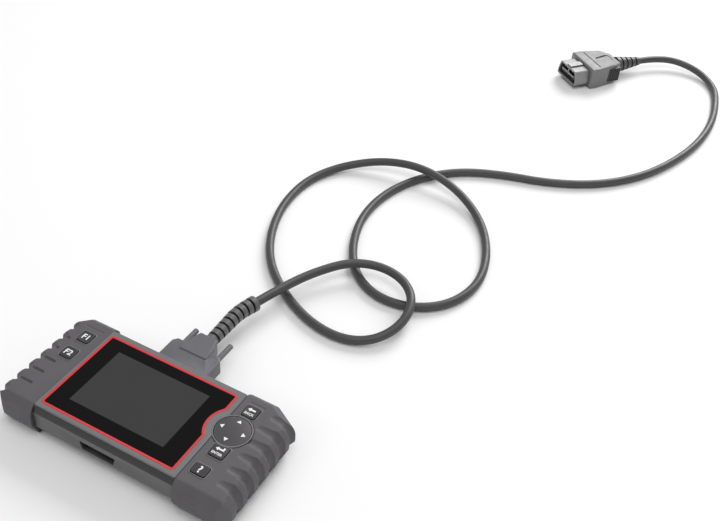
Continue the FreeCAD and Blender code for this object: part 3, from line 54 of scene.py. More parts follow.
# The part of a noise's range that shows, from its darkest to its palest patches.
PATCHES = (0.3, 0.7)
# Pointiness where an edge starts to turn paler, and where it is fully paler: partly wear, partly painted
# highlight.
EDGE_WEAR_AND_HIGHLIGHT = (0.505, 0.56)
# Openness of the darkest painted shade in a hollow, and of a surface that isn't painted darker.
OPENNESS = (0.25, 0.85)
HOLLOW_RAYS = 8
# Sizes in metres of the patches in a moulding's colour and roughness, and how far the roughness strays.
COLOUR_PATCH = 0.018
ROUGH_PATCH = 0.006
ROUGH_STRAY = 0.05
# A moulding's coarser grain, as shares of its fine grain's size and depth.
COARSE_SIZE = 6
COARSE_DEPTH = 0.6
# CAD corners nearer than this in metres are one corner, and faces within this angle in degrees are one face.
SAME_CORNER = 0.000002
SAME_FACE = 0.6
# Rounded edges have this many steps, and edges sharper than this in degrees are shaded crisp.
ROUNDING_STEPS = 3
CRISP = 35
# Edges sharper than this in degrees are rounded: on most pieces, and on round or ribbed ones.
FLAT_WORK = 28.0
ROUND_WORK = 40.0
# The thickness of printed legends in metres.
INK = 0.00006


class Body(str, Enum):
    """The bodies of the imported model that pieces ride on."""

    HANDSET = "handset"
    CABLE = "cable"
    CARD = "memory_card"
    PAD = "pad_disc"
    SCREW_LEFT = "thumbscrew_left"
    SCREW_RIGHT = "thumbscrew_right"


class Glyph(Enum):
    """Legends that are drawn as shapes and not as letters."""

    RETURN = "return"
    ENTER = "enter"


# ------------------------------------------------------------------ finishes


class NodeSheet:
    """A short way to build a node material round one Principled shader."""

    def __init__(self, name: str) -> None:
        """Starts a material.

        Args:
            name: The material's name.
        """
        self.material = bpy.data.materials.new(name)
        self.material.use_nodes = True
        self.tree = self.material.node_tree
        self.shader = self.tree.nodes["Principled BSDF"]
        self.place = self.tree.nodes.new("ShaderNodeTexCoord").outputs["Object"]

    def add(self, kind: str, **values: object) -> bpy.types.Node:
        """Adds a node.

        Args:
            kind: The node's type name.
            **values: Input values by name, with _ for a space.

        Returns:
            The new node.
        """
        node = self.tree.nodes.new(kind)
        for key, value in values.items():
            node.inputs[key.replace("_", " ")].default_value = value
        return node

    def link(self, start: bpy.types.NodeSocket, end: bpy.types.NodeSocket) -> None:
        """Joins two sockets.

        Args:
            start: The output.
            end: The input.
        """
        self.tree.links.new(start, end)

    def noise(self, size: float, detail: float = 2.0) -> bpy.types.NodeSocket:
        """Noise in the piece's own space.

        Args:
            size: The size of its blotches in metres.
            detail: How many octaves it has.

        Returns:
            The noise's value socket.
        """
        node = self.add("ShaderNodeTexNoise", Scale=1.0 / size, Detail=detail, Roughness=0.55)
        self.link(self.place, node.inputs["Vector"])
        return node.outputs["Fac"]

    def ramp(self, value: bpy.types.NodeSocket, low: float, high: float, out_low: float,
             out_high: float) -> bpy.types.NodeSocket:
        """Maps a value from one range to another.

        Args:
            value: The value's socket.
            low: The start of its range.
            high: The end of its range.
            out_low: The result at low.
            out_high: The result at high.

        Returns:
            The mapped value's socket.
        """
        node = self.tree.nodes.new("ShaderNodeMapRange")
        for key, number in zip(("From Min", "From Max", "To Min", "To Max"), (low, high, out_low, out_high)):
            node.inputs[key].default_value = number
        self.link(value, node.inputs["Value"])
        return node.outputs["Result"]

    def mix(self, share: bpy.types.NodeSocket, first: object, second: object) -> bpy.types.NodeSocket:
        """Mixes two colours.

        Args:
            share: The share of the second colour.
            first: A colour or a socket.
            second: A colour or a socket.

        Returns:
            The mixed colour's socket.
        """
        node = self.tree.nodes.new("ShaderNodeMix")
        node.data_type = "RGBA"
        self.link(share, node.inputs["Factor"])
        for socket, colour in ((node.inputs[6], first), (node.inputs[7], second)):
            if isinstance(colour, bpy.types.NodeSocket):
                self.link(colour, socket)
            else:
                socket.default_value = (*colour, 1.0)
        return node.outputs[2]

    def bump(self, heights: list[tuple[bpy.types.NodeSocket, float]]) -> None:
        """Adds bump to the shader, one layer on another.

        Args:
            heights: Height sockets from 0 to 1, each with its depth in metres.
        """
        normal = None
        for height, depth in heights:
            node = self.add("ShaderNodeBump", Strength=1.0, Distance=depth)
            self.link(height, node.inputs["Height"])
            if normal is not None:
                self.link(normal, node.inputs["Normal"])
            normal = node.outputs["Normal"]
        self.link(normal, self.shader.inputs["Normal"])


@dataclass(frozen=True)
class Finish:
    """A finish that is built once and shared by every piece that has it.

    Attributes:
        name: The material's name.
    """

    name: str

    def material(self) -> bpy.types.Material:
        """Builds the material, or finds it if it is built.

        Returns:
            The material.
        """
        made = bpy.data.materials.get(self.name + "_finish")
        if made is None:
            sheet = NodeSheet(self.name + "_finish")
            self.wire(sheet)
            made = sheet.material
        return made

    def wire(self, sheet: NodeSheet) -> None:
        """Wires the finish's nodes.

        Args:
            sheet: The new material's nodes.
        """
        raise NotImplementedError


@dataclass(frozen=True)
class Moulding(Finish):
    """Moulded plastic or rubber with fine grain, slight mottling, paler edges that are partly wear and
    partly painted highlight, and painted shade in its hollows.

    Attributes:
        colour: Its linear colour.
        rough: Its mean roughness.
        grain: The size of its grain in metres.
        depth: The depth of its grain in metres.
        mottle: How much its colour varies, as a share.
        wear_and_highlight: How much paler its edges are, as a share: partly wear, partly painted highlight.
        gloss: Its specular level.
        painted_hollow_shade: How much darker its hollows are painted, as a share: painted shade.
        reach: How far the painted shade in hollows looks, in metres.
    """

    colour: tuple[float, float, float]
    rough: float = 0.5
    grain: float = 0.0004
    depth: float = 0.00002
    mottle: float = 0.08
    wear_and_highlight: float = 0.25
    gloss: float = 0.5
    painted_hollow_shade: float = 0.0
    reach: float = 0.003

    def wire(self, sheet: NodeSheet) -> None:
        """Wires the finish's nodes.

        Args:
            sheet: The new material's nodes.
        """
        dark = tuple(c * (1 - self.mottle) for c in self.colour)
        pale = tuple(min(c * (1 + self.mottle), 1.0) for c in self.colour)
        base = sheet.mix(sheet.ramp(sheet.noise(COLOUR_PATCH, 4), *PATCHES, 0, 1), dark, pale)
        # Paler convex edges: partly wear, partly painted highlight.
        edge = tuple(min(c * (1 + self.wear_and_highlight) + 0.02 * self.wear_and_highlight, 1.0) for c in self.colour)
        point = sheet.tree.nodes.new("ShaderNodeNewGeometry").outputs["Pointiness"]
        wear_and_painted_light = sheet.mix(sheet.ramp(point, *EDGE_WEAR_AND_HIGHLIGHT, 0, 1), base, edge)
        # Painted shade: hollows are painted darker by how open they are.
        if self.painted_hollow_shade > 0:
            hollow = sheet.add("ShaderNodeAmbientOcclusion", Distance=self.reach)
            hollow.samples = HOLLOW_RAYS
            painted_shade_colour = tuple(c * (1 - self.painted_hollow_shade) for c in self.colour)
            wear_and_painted_light = sheet.mix(sheet.ramp(hollow.outputs["AO"], *OPENNESS, 0, 1), painted_shade_colour, wear_and_painted_light)
        sheet.link(wear_and_painted_light, sheet.shader.inputs["Base Color"])
        patchy = sheet.ramp(sheet.noise(ROUGH_PATCH, 3), *PATCHES, self.rough - ROUGH_STRAY,
                            self.rough + ROUGH_STRAY)
        sheet.link(patchy, sheet.shader.inputs["Roughness"])
        sheet.shader.inputs["Specular IOR Level"].default_value = self.gloss
        fine = sheet.noise(self.grain, 2)
        coarse = sheet.noise(self.grain * COARSE_SIZE, 1)
        sheet.bump([(fine, self.depth), (coarse, self.depth * COARSE_DEPTH)])


@dataclass(frozen=True)
class Metal(Finish):
    """Plated or brushed metal with fine streaks along one axis.

    Attributes:
        colour: Its linear colour.
        rough: Its mean roughness.
        stray: How far its roughness strays.
        shade: How dark its darkest streaks are, as a share of its colour.
        stretch: How much longer a streak is than it is wide.
        scale: How many streaks there are in a metre, along them.
        depth: The depth of its streaks in metres.
    """

    colour: tuple[float, float, float]
    rough: float = 0.3
    stray: float = 0.08
    shade: float = 0.88
    stretch: float = 12.0
    scale: float = 900.0
    depth: float = 0.000004

    def wire(self, sheet: NodeSheet) -> None:
        """Wires the finish's nodes.

        Args:
            sheet: The new material's nodes.
        """
        drawn = sheet.add("ShaderNodeMapping", Scale=(1.0, self.stretch, self.stretch))
        sheet.link(sheet.place, drawn.inputs["Vector"])
        streak = sheet.add("ShaderNodeTexNoise", Scale=self.scale, Detail=3.0)
        sheet.link(drawn.outputs["Vector"], streak.inputs["Vector"])
        value = streak.outputs["Fac"]
        sheet.link(sheet.ramp(value, *PATCHES, self.rough - self.stray, self.rough + self.stray),
                   sheet.shader.inputs["Roughness"])
        sheet.link(sheet.mix(value, tuple(c * self.shade for c in self.colour), self.colour),
                   sheet.shader.inputs["Base Color"])
        sheet.shader.inputs["Metallic"].default_value = 1.0
        sheet.bump([(value, self.depth)])


@dataclass(frozen=True)
class Window(Finish):
    """Glossy black window with the unlit display showing as a paler area.

    Attributes:
        low: The lowest corner of the display's area in plan, in metres.
        high: The highest corner of the display's area in plan, in metres.
        soft: Half the width of the area's soft edge in metres.
        cell: The darkest and the palest colour of the display.
        border: The darkest and the palest colour round it.
        rough: The least and the greatest roughness.
        gloss: Its specular level.
    """

    low: tuple[float, float]
    high: tuple[float, float]
    soft: float = 0.0003
    cell: tuple[tuple[float, float, float], ...] = ((0.043, 0.043, 0.044), (0.050, 0.050, 0.051))
    border: tuple[tuple[float, float, float], ...] = ((0.0045, 0.0045, 0.005), (0.006, 0.006, 0.0065))
    rough: tuple[float, float] = (0.10, 0.16)
    gloss: float = 0.12

    def wire(self, sheet: NodeSheet) -> None:
        """Wires the finish's nodes.

        Args:
            sheet: The new material's nodes.
        """
        split = sheet.tree.nodes.new("ShaderNodeSeparateXYZ")
        sheet.link(sheet.place, split.inputs[0])
        inside = None
        for axis in (0, 1):
            for edge, sense in ((self.low[axis], 1), (self.high[axis], -1)):
                soft = self.soft * sense
                side = sheet.ramp(split.outputs[axis], edge - soft, edge + soft, 0, 1)
                if inside is None:
                    inside = side
                    continue
                product = sheet.tree.nodes.new("ShaderNodeMath")
                product.operation = "MULTIPLY"
                sheet.link(inside, product.inputs[0])
                sheet.link(side, product.inputs[1])
                inside = product.outputs[0]
        cell = sheet.mix(sheet.noise(0.03, 2), *self.cell)
        border = sheet.mix(sheet.noise(0.02, 2), *self.border)
        sheet.link(sheet.mix(inside, border, cell), sheet.shader.inputs["Base Color"])
        patchy = sheet.ramp(sheet.noise(0.008, 3), *PATCHES, *self.rough)
        sheet.link(patchy, sheet.shader.inputs["Roughness"])
        sheet.shader.inputs["Specular IOR Level"].default_value = self.gloss


# ------------------------------------------------------------------ mesh helpers


def new_object(name: str, data: bpy.types.ID) -> bpy.types.Object:
    """Links a new object into the scene.

    Args:
        name: The object's name.
        data: Its mesh, curve, light or camera.

    Returns:
        The object.
    """
    made = bpy.data.objects.new(name, data)
    bpy.context.scene.collection.objects.link(made)
    return made


def bake(piece: bpy.types.Object) -> None:
    """Applies a piece's modifiers to its mesh.

    Args:
        piece: The piece.
    """
    graph = bpy.context.evaluated_depsgraph_get()
    mesh = bpy.data.meshes.new_from_object(piece.evaluated_get(graph))
    piece.modifiers.clear()
    piece.data = mesh


def shade_smooth(piece: bpy.types.Object) -> None:
    """Shades every face of a piece smooth.

    Args:
        piece: The piece.
    """
    for face in piece.data.polygons:
        face.use_smooth = True


def middle_top(node: str) -> Vector:
    """The middle of the top of a CAD node's box.

    Args:
        node: The node's name.

    Returns:
        The point, in metres.
    """
    low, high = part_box(node)
    return Vector(((low.x + high.x) / 2, (low.y + high.y) / 2, high.z))


def clean_copy(node: str, whole: bool = True) -> bpy.types.Mesh:
    """A copy of a CAD node's mesh with its corners joined.

    Args:
        node: The node's name.
        whole: Whether the triangles of a flat face are joined into one face.

    Returns:
        The new mesh.
    """
    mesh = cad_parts[node].data.copy()
    work = bmesh.new()
    work.from_mesh(mesh)
    bmesh.ops.remove_doubles(work, verts=work.verts, dist=SAME_CORNER)
    if whole:
        flat = math.radians(SAME_FACE)
        bmesh.ops.dissolve_limit(work, angle_limit=flat, verts=work.verts, edges=work.edges)
    work.to_mesh(mesh)
    work.free()
    mesh.materials.clear()
    return mesh


def dress(piece: bpy.types.Object, finish: Finish, body: Body | str) -> None:
    """Gives a piece its finish and its body.

    Args:
        piece: The piece.
        finish: Its finish.
        body: The body it rides on.
    """
    piece.data.materials.clear()
    piece.data.materials.append(finish.material())
    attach(piece, body.value if isinstance(body, Body) else body)


def softened(node: str, finish: Finish, body: Body | str, width: float,
             angle: float = FLAT_WORK, whole: bool = True) -> bpy.types.Object:
    """Stands a softened copy in for a CAD node, with its hard edges rounded.

    Args:
        node: The node's name.
        finish: Its finish.
        body: The body it rides on.
        width: The width of the rounding in millimetres.
        angle: Edges sharper than this are rounded, in degrees.
        whole: Whether the triangles of a flat face are joined into one face.

    Returns:
        The new piece.
    """
    piece = new_object(node + "_moulded", clean_copy(node, whole))
    bevel = piece.modifiers.new("soften", "BEVEL")
    bevel.width = width * MM
    bevel.segments = ROUNDING_STEPS
    bevel.limit_method = "ANGLE"
    bevel.angle_limit = math.radians(angle)
    bake(piece)
    shade_smooth(piece)
    piece.data.set_sharp_from_angle(angle=math.radians(CRISP))
    normals = piece.modifiers.new("normals", "WEIGHTED_NORMAL")
    normals.keep_sharp = True
    dress(piece, finish, body)
    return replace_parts(piece, node)


def paint(finish: Finish, *nodes: str) -> None:
    """Gives CAD nodes that keep their shape a finish.

    Args:
        finish: Their finish.
        *nodes: The nodes' names.
    """
    for node in nodes:
        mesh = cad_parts[node].data
        mesh.materials.clear()
        mesh.materials.append(finish.material())


def polygon_plate(name: str, points: list[tuple[float, float]], height: Callable[[float, float], float],
                  thick: float) -> bpy.types.Object:
    """A thin printed plate over a surface.

    Args:
        name: The piece's name.
        points: Its outline in plan, in metres.
        height: The surface's height at a place in plan.
        thick: Its thickness in metres.

    Returns:
        The new piece.
    """
    work = bmesh.new()
    low = [work.verts.new((x, y, height(x, y) - thick / 2)) for x, y in points]
    face = work.faces.new(low)
    made = bmesh.ops.extrude_face_region(work, geom=[face])
    for vert in [g for g in made["geom"] if isinstance(g, bmesh.types.BMVert)]:
        vert.co.z += thick
    bmesh.ops.recalc_face_normals(work, faces=work.faces)
    mesh = bpy.data.meshes.new(name)
    work.to_mesh(mesh)
    work.free()
    return new_object(name, mesh)


def lettering(name: str, words: str, size: float, centre: Vector, bold: float) -> bpy.types.Object:
    """Flat raised letters as a mesh, centred on a point.

    Args:
        name: The piece's name.
        words: The letters.
        size: Their size in metres.
        centre: The middle of the letters, on the surface.
        bold: How much each stroke is thickened, in metres.

    Returns:
        The new piece.
    """
    curve = bpy.data.curves.new(name, "FONT")
    curve.body = words
    curve.size = size
    curve.align_x = "CENTER"
    curve.align_y = "CENTER"
    curve.offset = bold
    curve.extrude = INK / 2
    text = new_object(name + "_text", curve)
    graph = bpy.context.evaluated_depsgraph_get()
    mesh = bpy.data.meshes.new_from_object(text.evaluated_get(graph))
    bpy.data.objects.remove(text)
    xs = [v.co.x for v in mesh.vertices]
    ys = [v.co.y for v in mesh.vertices]
    shift = centre - Vector(((min(xs) + max(xs)) / 2, (min(ys) + max(ys)) / 2, 0))
    mesh.transform(Matrix.Translation(shift))
    return new_object(name, mesh)


# ------------------------------------------------------------------ the finishes of this object


# A moulding's numbers: colour, roughness, grain, grain depth, mottle, paler edges (partly wear, partly
# painted highlight), gloss, and painted shade in hollows with its reach.
GRIP = Moulding("grip_rubber", (0.105, 0.100, 0.108), 0.58, 0.00045, 0.000030, 0.05, 0.20, 0.30, 0.92, 0.006)
CASE = Moulding("case_grey", (0.080, 0.079, 0.078), 0.52, 0.00035, 0.000018, 0.05, 0.45, 0.5, 0.95, 0.008)
# Near-black band: partly its own black plastic, partly painted shade under the frame's overhang.
BAND = Moulding("case_band", (0.012, 0.012, 0.012), 0.36, 0.00030, 0.000010, 0.06, 0.40)
SILVER = Moulding("frame_silver", (0.150, 0.152, 0.156), 0.40, 0.00025, 0.000008, 0.03, 0.15)
RED = Moulding("trim_red", (0.560, 0.030, 0.036), 0.40, 0.00030, 0.000006, 0.05, 0.20)
# Partly the ring's own silver grey, partly a painted highlight on its raised edge.
RING_SILVER_AND_HIGHLIGHT = Moulding("ring_silver", (0.160, 0.157, 0.160), 0.40, 0.00025, 0.000008, 0.03, 0.15)
KEY = Moulding("key_rubber", (0.030, 0.028, 0.031), 0.50, 0.00030, 0.000012, 0.06, 0.60)
PAD = Moulding("pad_rubber", (0.058, 0.054, 0.060), 0.48, 0.00030, 0.000010, 0.05, 0.40)
# Painted highlight: the rims' paler grey stands in for the lit edge of the grip's raised lips.
RIM_PAINTED_HIGHLIGHT = Moulding("rim_painted_highlight", (0.190, 0.186, 0.186), 0.45, 0.00030, 0.000006, 0.05, 0.0)
LEGEND = Moulding("legend_white", (0.86, 0.86, 0.87), 0.45, 0.00030, 0.000002, 0.02, 0.0)
HOOD = Moulding("hood_grey", (0.120, 0.119, 0.132), 0.46, 0.00035, 0.000016, 0.05, 0.35, 0.5, 0.8, 0.003)
KNOB = Moulding("screw_grey", (0.105, 0.105, 0.110), 0.46, 0.00030, 0.000012, 0.05, 0.30)
BOOT = Moulding("boot_rubber", (0.065, 0.065, 0.066), 0.36, 0.00035, 0.000016, 0.06, 0.60, 0.5, 0.93, 0.003)
JACKET = Moulding("cord_jacket", (0.062, 0.062, 0.061), 0.44, 0.00050, 0.000014, 0.08, 0.0, 0.42)
PLUG = Moulding("plug_grey", (0.175, 0.174, 0.176), 0.48, 0.00035, 0.000016, 0.025, 0.35, 0.5, 0.8, 0.003)
NOSE = Moulding("nose_grey", (0.230, 0.230, 0.234), 0.38, 0.00030, 0.000012, 0.05, 0.25, 0.5, 0.93, 0.012)
INSERT = Moulding("insert_black", (0.022, 0.022, 0.023), 0.55, 0.00030, 0.000016, 0.06, 0.60)
BLACK = Moulding("parts_black", (0.015, 0.015, 0.016), 0.48, 0.00030, 0.000008, 0.08, 0.50)
BOARD = Moulding("board_green", (0.012, 0.105, 0.045), 0.38, 0.00080, 0.000010, 0.12, 0.30)
SILICONE = Moulding("mat_silicone", (0.300, 0.300, 0.305), 0.55, 0.00050, 0.000010, 0.04, 0.10)
FILM = Moulding("ribbon_amber", (0.380, 0.170, 0.030), 0.35, 0.00060, 0.000004, 0.08, 0.10)
STEEL = Metal("steel_plated", (0.60, 0.60, 0.62), 0.32)
GOLD = Metal("contact_gold", (0.83, 0.62, 0.26), 0.28)


# ------------------------------------------------------------------ sub-assemblies


@dataclass
class Case:
    """The case halves, the grips, the display frame and the red trim.

    Attributes:
        case_edge: The rounding of the lower case's edges in millimetres.
        frame_edge: The rounding of the upper case and the frame in millimetres.
        trim_edge: The rounding of the red trim in millimetres.
        melt: The size of the steps that a grip is melted in, in metres.
        relax: How far each smoothing of a grip goes, as a share.
        rounds: How many times a grip is smoothed.
    """

    case_edge: float = 0.35
    frame_edge: float = 0.25
    trim_edge: float = 0.3
    melt: float = 0.00035
    relax: float = 0.5
    rounds: int = 6

    def build(self) -> None:
        """Builds the outer shells."""
        softened("lower_case", CASE, Body.HANDSET, self.case_edge)
        softened("upper_case", BAND, Body.HANDSET, self.frame_edge)
        softened("bezel_frame", SILVER, Body.HANDSET, self.frame_edge)
        softened("red_trim", RED, Body.HANDSET, self.trim_edge)
        for side in ("left", "right"):
            self.grip(side)
        paint(STEEL, "case_screws")

    def grip(self, side: str) -> None:
        """Builds one rubber grip, with every edge melted round as moulded rubber is.

        Args:
            side: "left" or "right".
        """
        node = side + "_grip"
        piece = new_object(node + "_moulded", clean_copy(node))
        mesher = piece.modifiers.new("melt", "REMESH")
        mesher.mode = "VOXEL"
        mesher.voxel_size = self.melt
        relax = piece.modifiers.new("relax", "SMOOTH")
        relax.factor = self.relax
        relax.iterations = self.rounds
        bake(piece)
        shade_smooth(piece)
        dress(piece, GRIP, Body.HANDSET)
        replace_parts(piece, node)


@dataclass
class Display:
    """The window, the display behind it and its ribbon.

    Attributes:
        width: The width of the display's own area in metres.
        depth: Its depth in metres.
        edge: The rounding of the window's edges in millimetres.
    """

    width: float = 0.0845
    depth: float = 0.0563
    edge: float = 0.15

    def build(self) -> None:
        """Dresses the display stack."""
        centre = middle_top("lcd_panel")
        half_x, half_y = self.width / 2, self.depth / 2
        window = Window("window_black", (centre.x - half_x, centre.y - half_y),
                        (centre.x + half_x, centre.y + half_y))
        softened("display_window", window, Body.HANDSET, self.edge)
        paint(BLACK, "lcd_panel")
        paint(STEEL, "lcd_carrier")
        paint(FILM, "display_ribbon")


@dataclass
class Legend:
    """What is printed on one key.

    Attributes:
        key: The key's node.
        lines: The printed lines, each with its size and its distance from the key's centre, in millimetres.
        glyph: An arrow that is drawn with them.
    """

    key: str
    lines: tuple[tuple[str, float, float], ...]
    glyph: Glyph | None = None


@dataclass
class Keypad:
    """The five square keys with their white legends and their rims, whose paler grey is a painted highlight.

    Attributes:
        edge: The rounding of a key's edges in millimetres.
        flange: How far a key's hidden flange stands out from its cap, in metres.
        bold: How much a letter's strokes are thickened, in metres for each millimetre of its size.
        drawn_for: The width of the cap that the arrows are drawn for, in metres.
        lift: How far an arrow is from its key's middle, in millimetres.
        rim_height: The height of each rim's middle in metres.
        rim_radius: Half the thickness of a rim in metres.
        rim_gap: The distance of a rim from its key's cap, in metres.
        rim_corner: The radius of a rim's corners in metres.
        rim_step: The distance between a rim's points in metres.
        pad_gap: The distance of a rim from the pad's ring in metres.
        legends: What is printed on each key.
    """

    edge: float = 0.25
    flange: float = 1.1 * MM
    bold: float = 0.000022
    drawn_for: float = 11.5 * MM
    lift: float = 1.5
    rim_height: float = 0.03275
    rim_radius: float = 0.0003
    rim_gap: float = 0.75 * MM
    rim_corner: float = 2.3 * MM
    rim_step: float = 0.4 * MM
    pad_gap: float = 0.25 * MM
    legends: tuple[Legend, ...] = (
        Legend("key_f1", (("F1", 7.2, 0.0),)),
        Legend("key_f2", (("F2", 7.2, 0.0),)),
        Legend("key_back", (("BACK", 3.0, -2.4),), Glyph.RETURN),
        Legend("key_enter", (("ENTER", 2.9, -2.6),), Glyph.ENTER),
        Legend("key_help", (("?", 8.4, 0.0),)),
    )

    def build(self) -> None:
        """Builds every key with its legend."""
        for legend in self.legends:
            softened(legend.key, KEY, legend.key, self.edge)
            self.print_on(legend)
            self.rim(legend.key)

    def print_on(self, legend: Legend) -> None:
        """Prints one key.

        Args:
            legend: What is printed on it.
        """
        low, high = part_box(legend.key)
        centre = middle_top(legend.key)
        for number, (words, size, across) in enumerate(legend.lines, 1):
            at = centre + Vector((0, across * MM, 0))
            piece = lettering(f"{legend.key}_legend_{number}", words, size * MM, at, self.bold * size)
            dress(piece, LEGEND, legend.key)
        if legend.glyph is not None:
            scale = MM * (high.x - low.x - 2 * self.flange) / self.drawn_for
            place = [(centre.x + x * scale, centre.y + (y + self.lift) * scale)
                     for x, y in self.arrow(legend.glyph)]
            piece = polygon_plate(f"{legend.key}_arrow", place, lambda x, y: high.z, INK)
            dress(piece, LEGEND, legend.key)

    def rim(self, key: str) -> None:
        """Builds the thin rim round one key, painted paler as a highlight on the grip's raised lip, bent
        aside where it meets the arrow pad.

        Args:
            key: The key's node.
        """
        low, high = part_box(key)
        pad_low, pad_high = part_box("pad_ring")
        pad = (pad_low + pad_high) / 2
        clear = (pad_high.x - pad_low.x) / 2 + self.pad_gap
        corner = self.rim_corner
        grow = self.rim_gap - self.flange - corner
        loop = []
        for turn, (x, y) in enumerate(((high.x, high.y), (low.x, high.y), (low.x, low.y), (high.x, low.y))):
            sx, sy = (1, -1)[turn in (1, 2)], (1, -1)[turn in (2, 3)]
            for step in range(7):
                angle = math.radians(90 * turn + 15 * step)
                loop.append(Vector((x + sx * grow + corner * math.cos(angle),
                                    y + sy * grow + corner * math.sin(angle), 0)))
        dense = []
        for start, end in zip(loop, loop[1:] + loop[:1]):
            count = max(int((end - start).length / self.rim_step), 1)
            dense += [start.lerp(end, i / count) for i in range(count)]
        curve = bpy.data.curves.new(key + "_rim", "CURVE")
        curve.dimensions = "3D"
        line = curve.splines.new("POLY")
        line.points.add(len(dense) - 1)
        for target, place in zip(line.points, dense):
            away = Vector((place.x - pad.x, place.y - pad.y, 0))
            if away.length < clear:
                place = Vector((pad.x, pad.y, 0)) + away.normalized() * clear
            target.co = (place.x, place.y, self.rim_height, 1.0)
        line.use_cyclic_u = True
        curve.bevel_depth = self.rim_radius
        curve.bevel_resolution = 3
        dress(new_object(key + "_rim", curve), RIM_PAINTED_HIGHLIGHT, Body.HANDSET)

    @staticmethod
    def arrow(glyph: Glyph) -> list[tuple[float, float]]:
        """The outline of an arrow, in millimetres about its middle.

        Args:
            glyph: Which arrow.

        Returns:
            The outline's points.
        """
        if glyph is Glyph.RETURN:
            return [(-3.4, 0.2), (-0.9, 2.1), (-0.9, 0.9), (3.0, 0.9), (3.0, -0.5),
                    (-0.9, -0.5), (-0.9, -1.7)]
        return [(-3.4, 0.0), (-1.2, 1.6), (-1.2, 0.6), (1.9, 0.6), (1.9, 2.2), (3.1, 2.2),
                (3.1, -0.6), (-1.2, -0.6), (-1.2, -1.6)]


@dataclass
class ArrowPad:
    """The round pad with its four arrows, its ring and its pivot.

    Attributes:
        edge: The rounding of the pad's rim in millimetres.
        ring_edge: The rounding of the ring's edges in millimetres.
        dome: The radius of the pad's shallow dome in metres.
        reach: The distance of each arrow from the pad's middle in metres.
        arrow: An arrow's corners in millimetres, outwards and across.
        thick: The thickness of an arrow in metres.
        proud: How far an arrow's middle stands above the dome, in metres.
    """

    edge: float = 0.2
    ring_edge: float = 0.15
    dome: float = 0.090
    reach: float = 0.0092
    arrow: tuple[tuple[float, float], ...] = ((1.7, 0.0), (-1.2, 1.9), (-1.2, -1.9))
    thick: float = 0.00008
    proud: float = 0.00001

    def build(self) -> None:
        """Builds the pad."""
        softened("pad_disc", PAD, Body.PAD, self.edge, ROUND_WORK)
        softened("pad_ring", RING_SILVER_AND_HIGHLIGHT, Body.HANDSET, self.ring_edge, ROUND_WORK)
        centre = middle_top("pad_disc")

        def dome_height(x: float, y: float) -> float:
            """The height of an arrow's middle at a place in plan."""
            fall = ((x - centre.x) ** 2 + (y - centre.y) ** 2) / (2 * self.dome)
            return centre.z - fall + self.proud

        for turn in range(4):
            angle = math.radians(90 * turn)
            points = []
            for out, across in self.arrow:
                radial = self.reach + out * MM
                x = centre.x + radial * math.cos(angle) - across * MM * math.sin(angle)
                y = centre.y + radial * math.sin(angle) + across * MM * math.cos(angle)
                points.append((x, y))
            piece = polygon_plate(f"pad_arrow_{turn + 1}", points, dome_height, self.thick)
            dress(piece, LEGEND, Body.PAD)
        paint(STEEL, "pad_pivot")
        paint(BLACK, "pad_post")


@dataclass
class Insides:
    """Boards, connectors and what is on them.

    Attributes:
        card_edge: The rounding of the memory card's edges in millimetres.
    """

    card_edge: float = 0.12

    def build(self) -> None:
        """Dresses the inner pieces."""
        paint(BOARD, "upper_board", "main_board")
        paint(BLACK, "board_components", "board_connector", "buzzer", "port_insulator")
        paint(SILICONE, "left_keymat", "right_keymat")
        paint(STEEL, "card_reader", "usb_socket", "port_shell", "jack_posts", "board_screws")
        paint(GOLD, "port_pins")
        softened("memory_card", BLACK, Body.CARD, self.card_edge)


@dataclass
class Connector:
    """The 15-way cable connector: hood, shell, contacts and thumbscrews.

    Attributes:
        hood_edge: The rounding of the hood's edges in millimetres.
        screw_edge: The rounding of the thumbscrews' edges in millimetres.
    """

    hood_edge: float = 0.35
    screw_edge: float = 0.12

    def build(self) -> None:
        """Builds the connector."""
        softened("hood", HOOD, Body.CABLE, self.hood_edge)
        for body in (Body.SCREW_LEFT, Body.SCREW_RIGHT):
            softened(body.value, KNOB, body, self.screw_edge, ROUND_WORK)
        paint(STEEL, "hood_shell")
        paint(BLACK, "hood_insulator")
        paint(GOLD, "hood_contacts")


@dataclass
class Plug:
    """The vehicle plug: boot, body, side inserts, nose and blades.

    Attributes:
        body_edge: The rounding of the body's edges in millimetres.
        boot_edge: The rounding of the boot's ribs in millimetres.
        edge: The rounding of the nose and the inserts in millimetres.
    """

    body_edge: float = 0.25
    boot_edge: float = 0.35
    edge: float = 0.3

    def build(self) -> None:
        """Builds the plug."""
        softened("plug_body", PLUG, Body.CABLE, self.body_edge, ROUND_WORK, whole=False)
        softened("plug_nose", NOSE, Body.CABLE, self.edge)
        softened("plug_boot", BOOT, Body.CABLE, self.boot_edge, ROUND_WORK)
        for side in ("left", "right"):
            softened("plug_grip_" + side, INSERT, Body.CABLE, self.edge)
        paint(STEEL, "plug_blades")


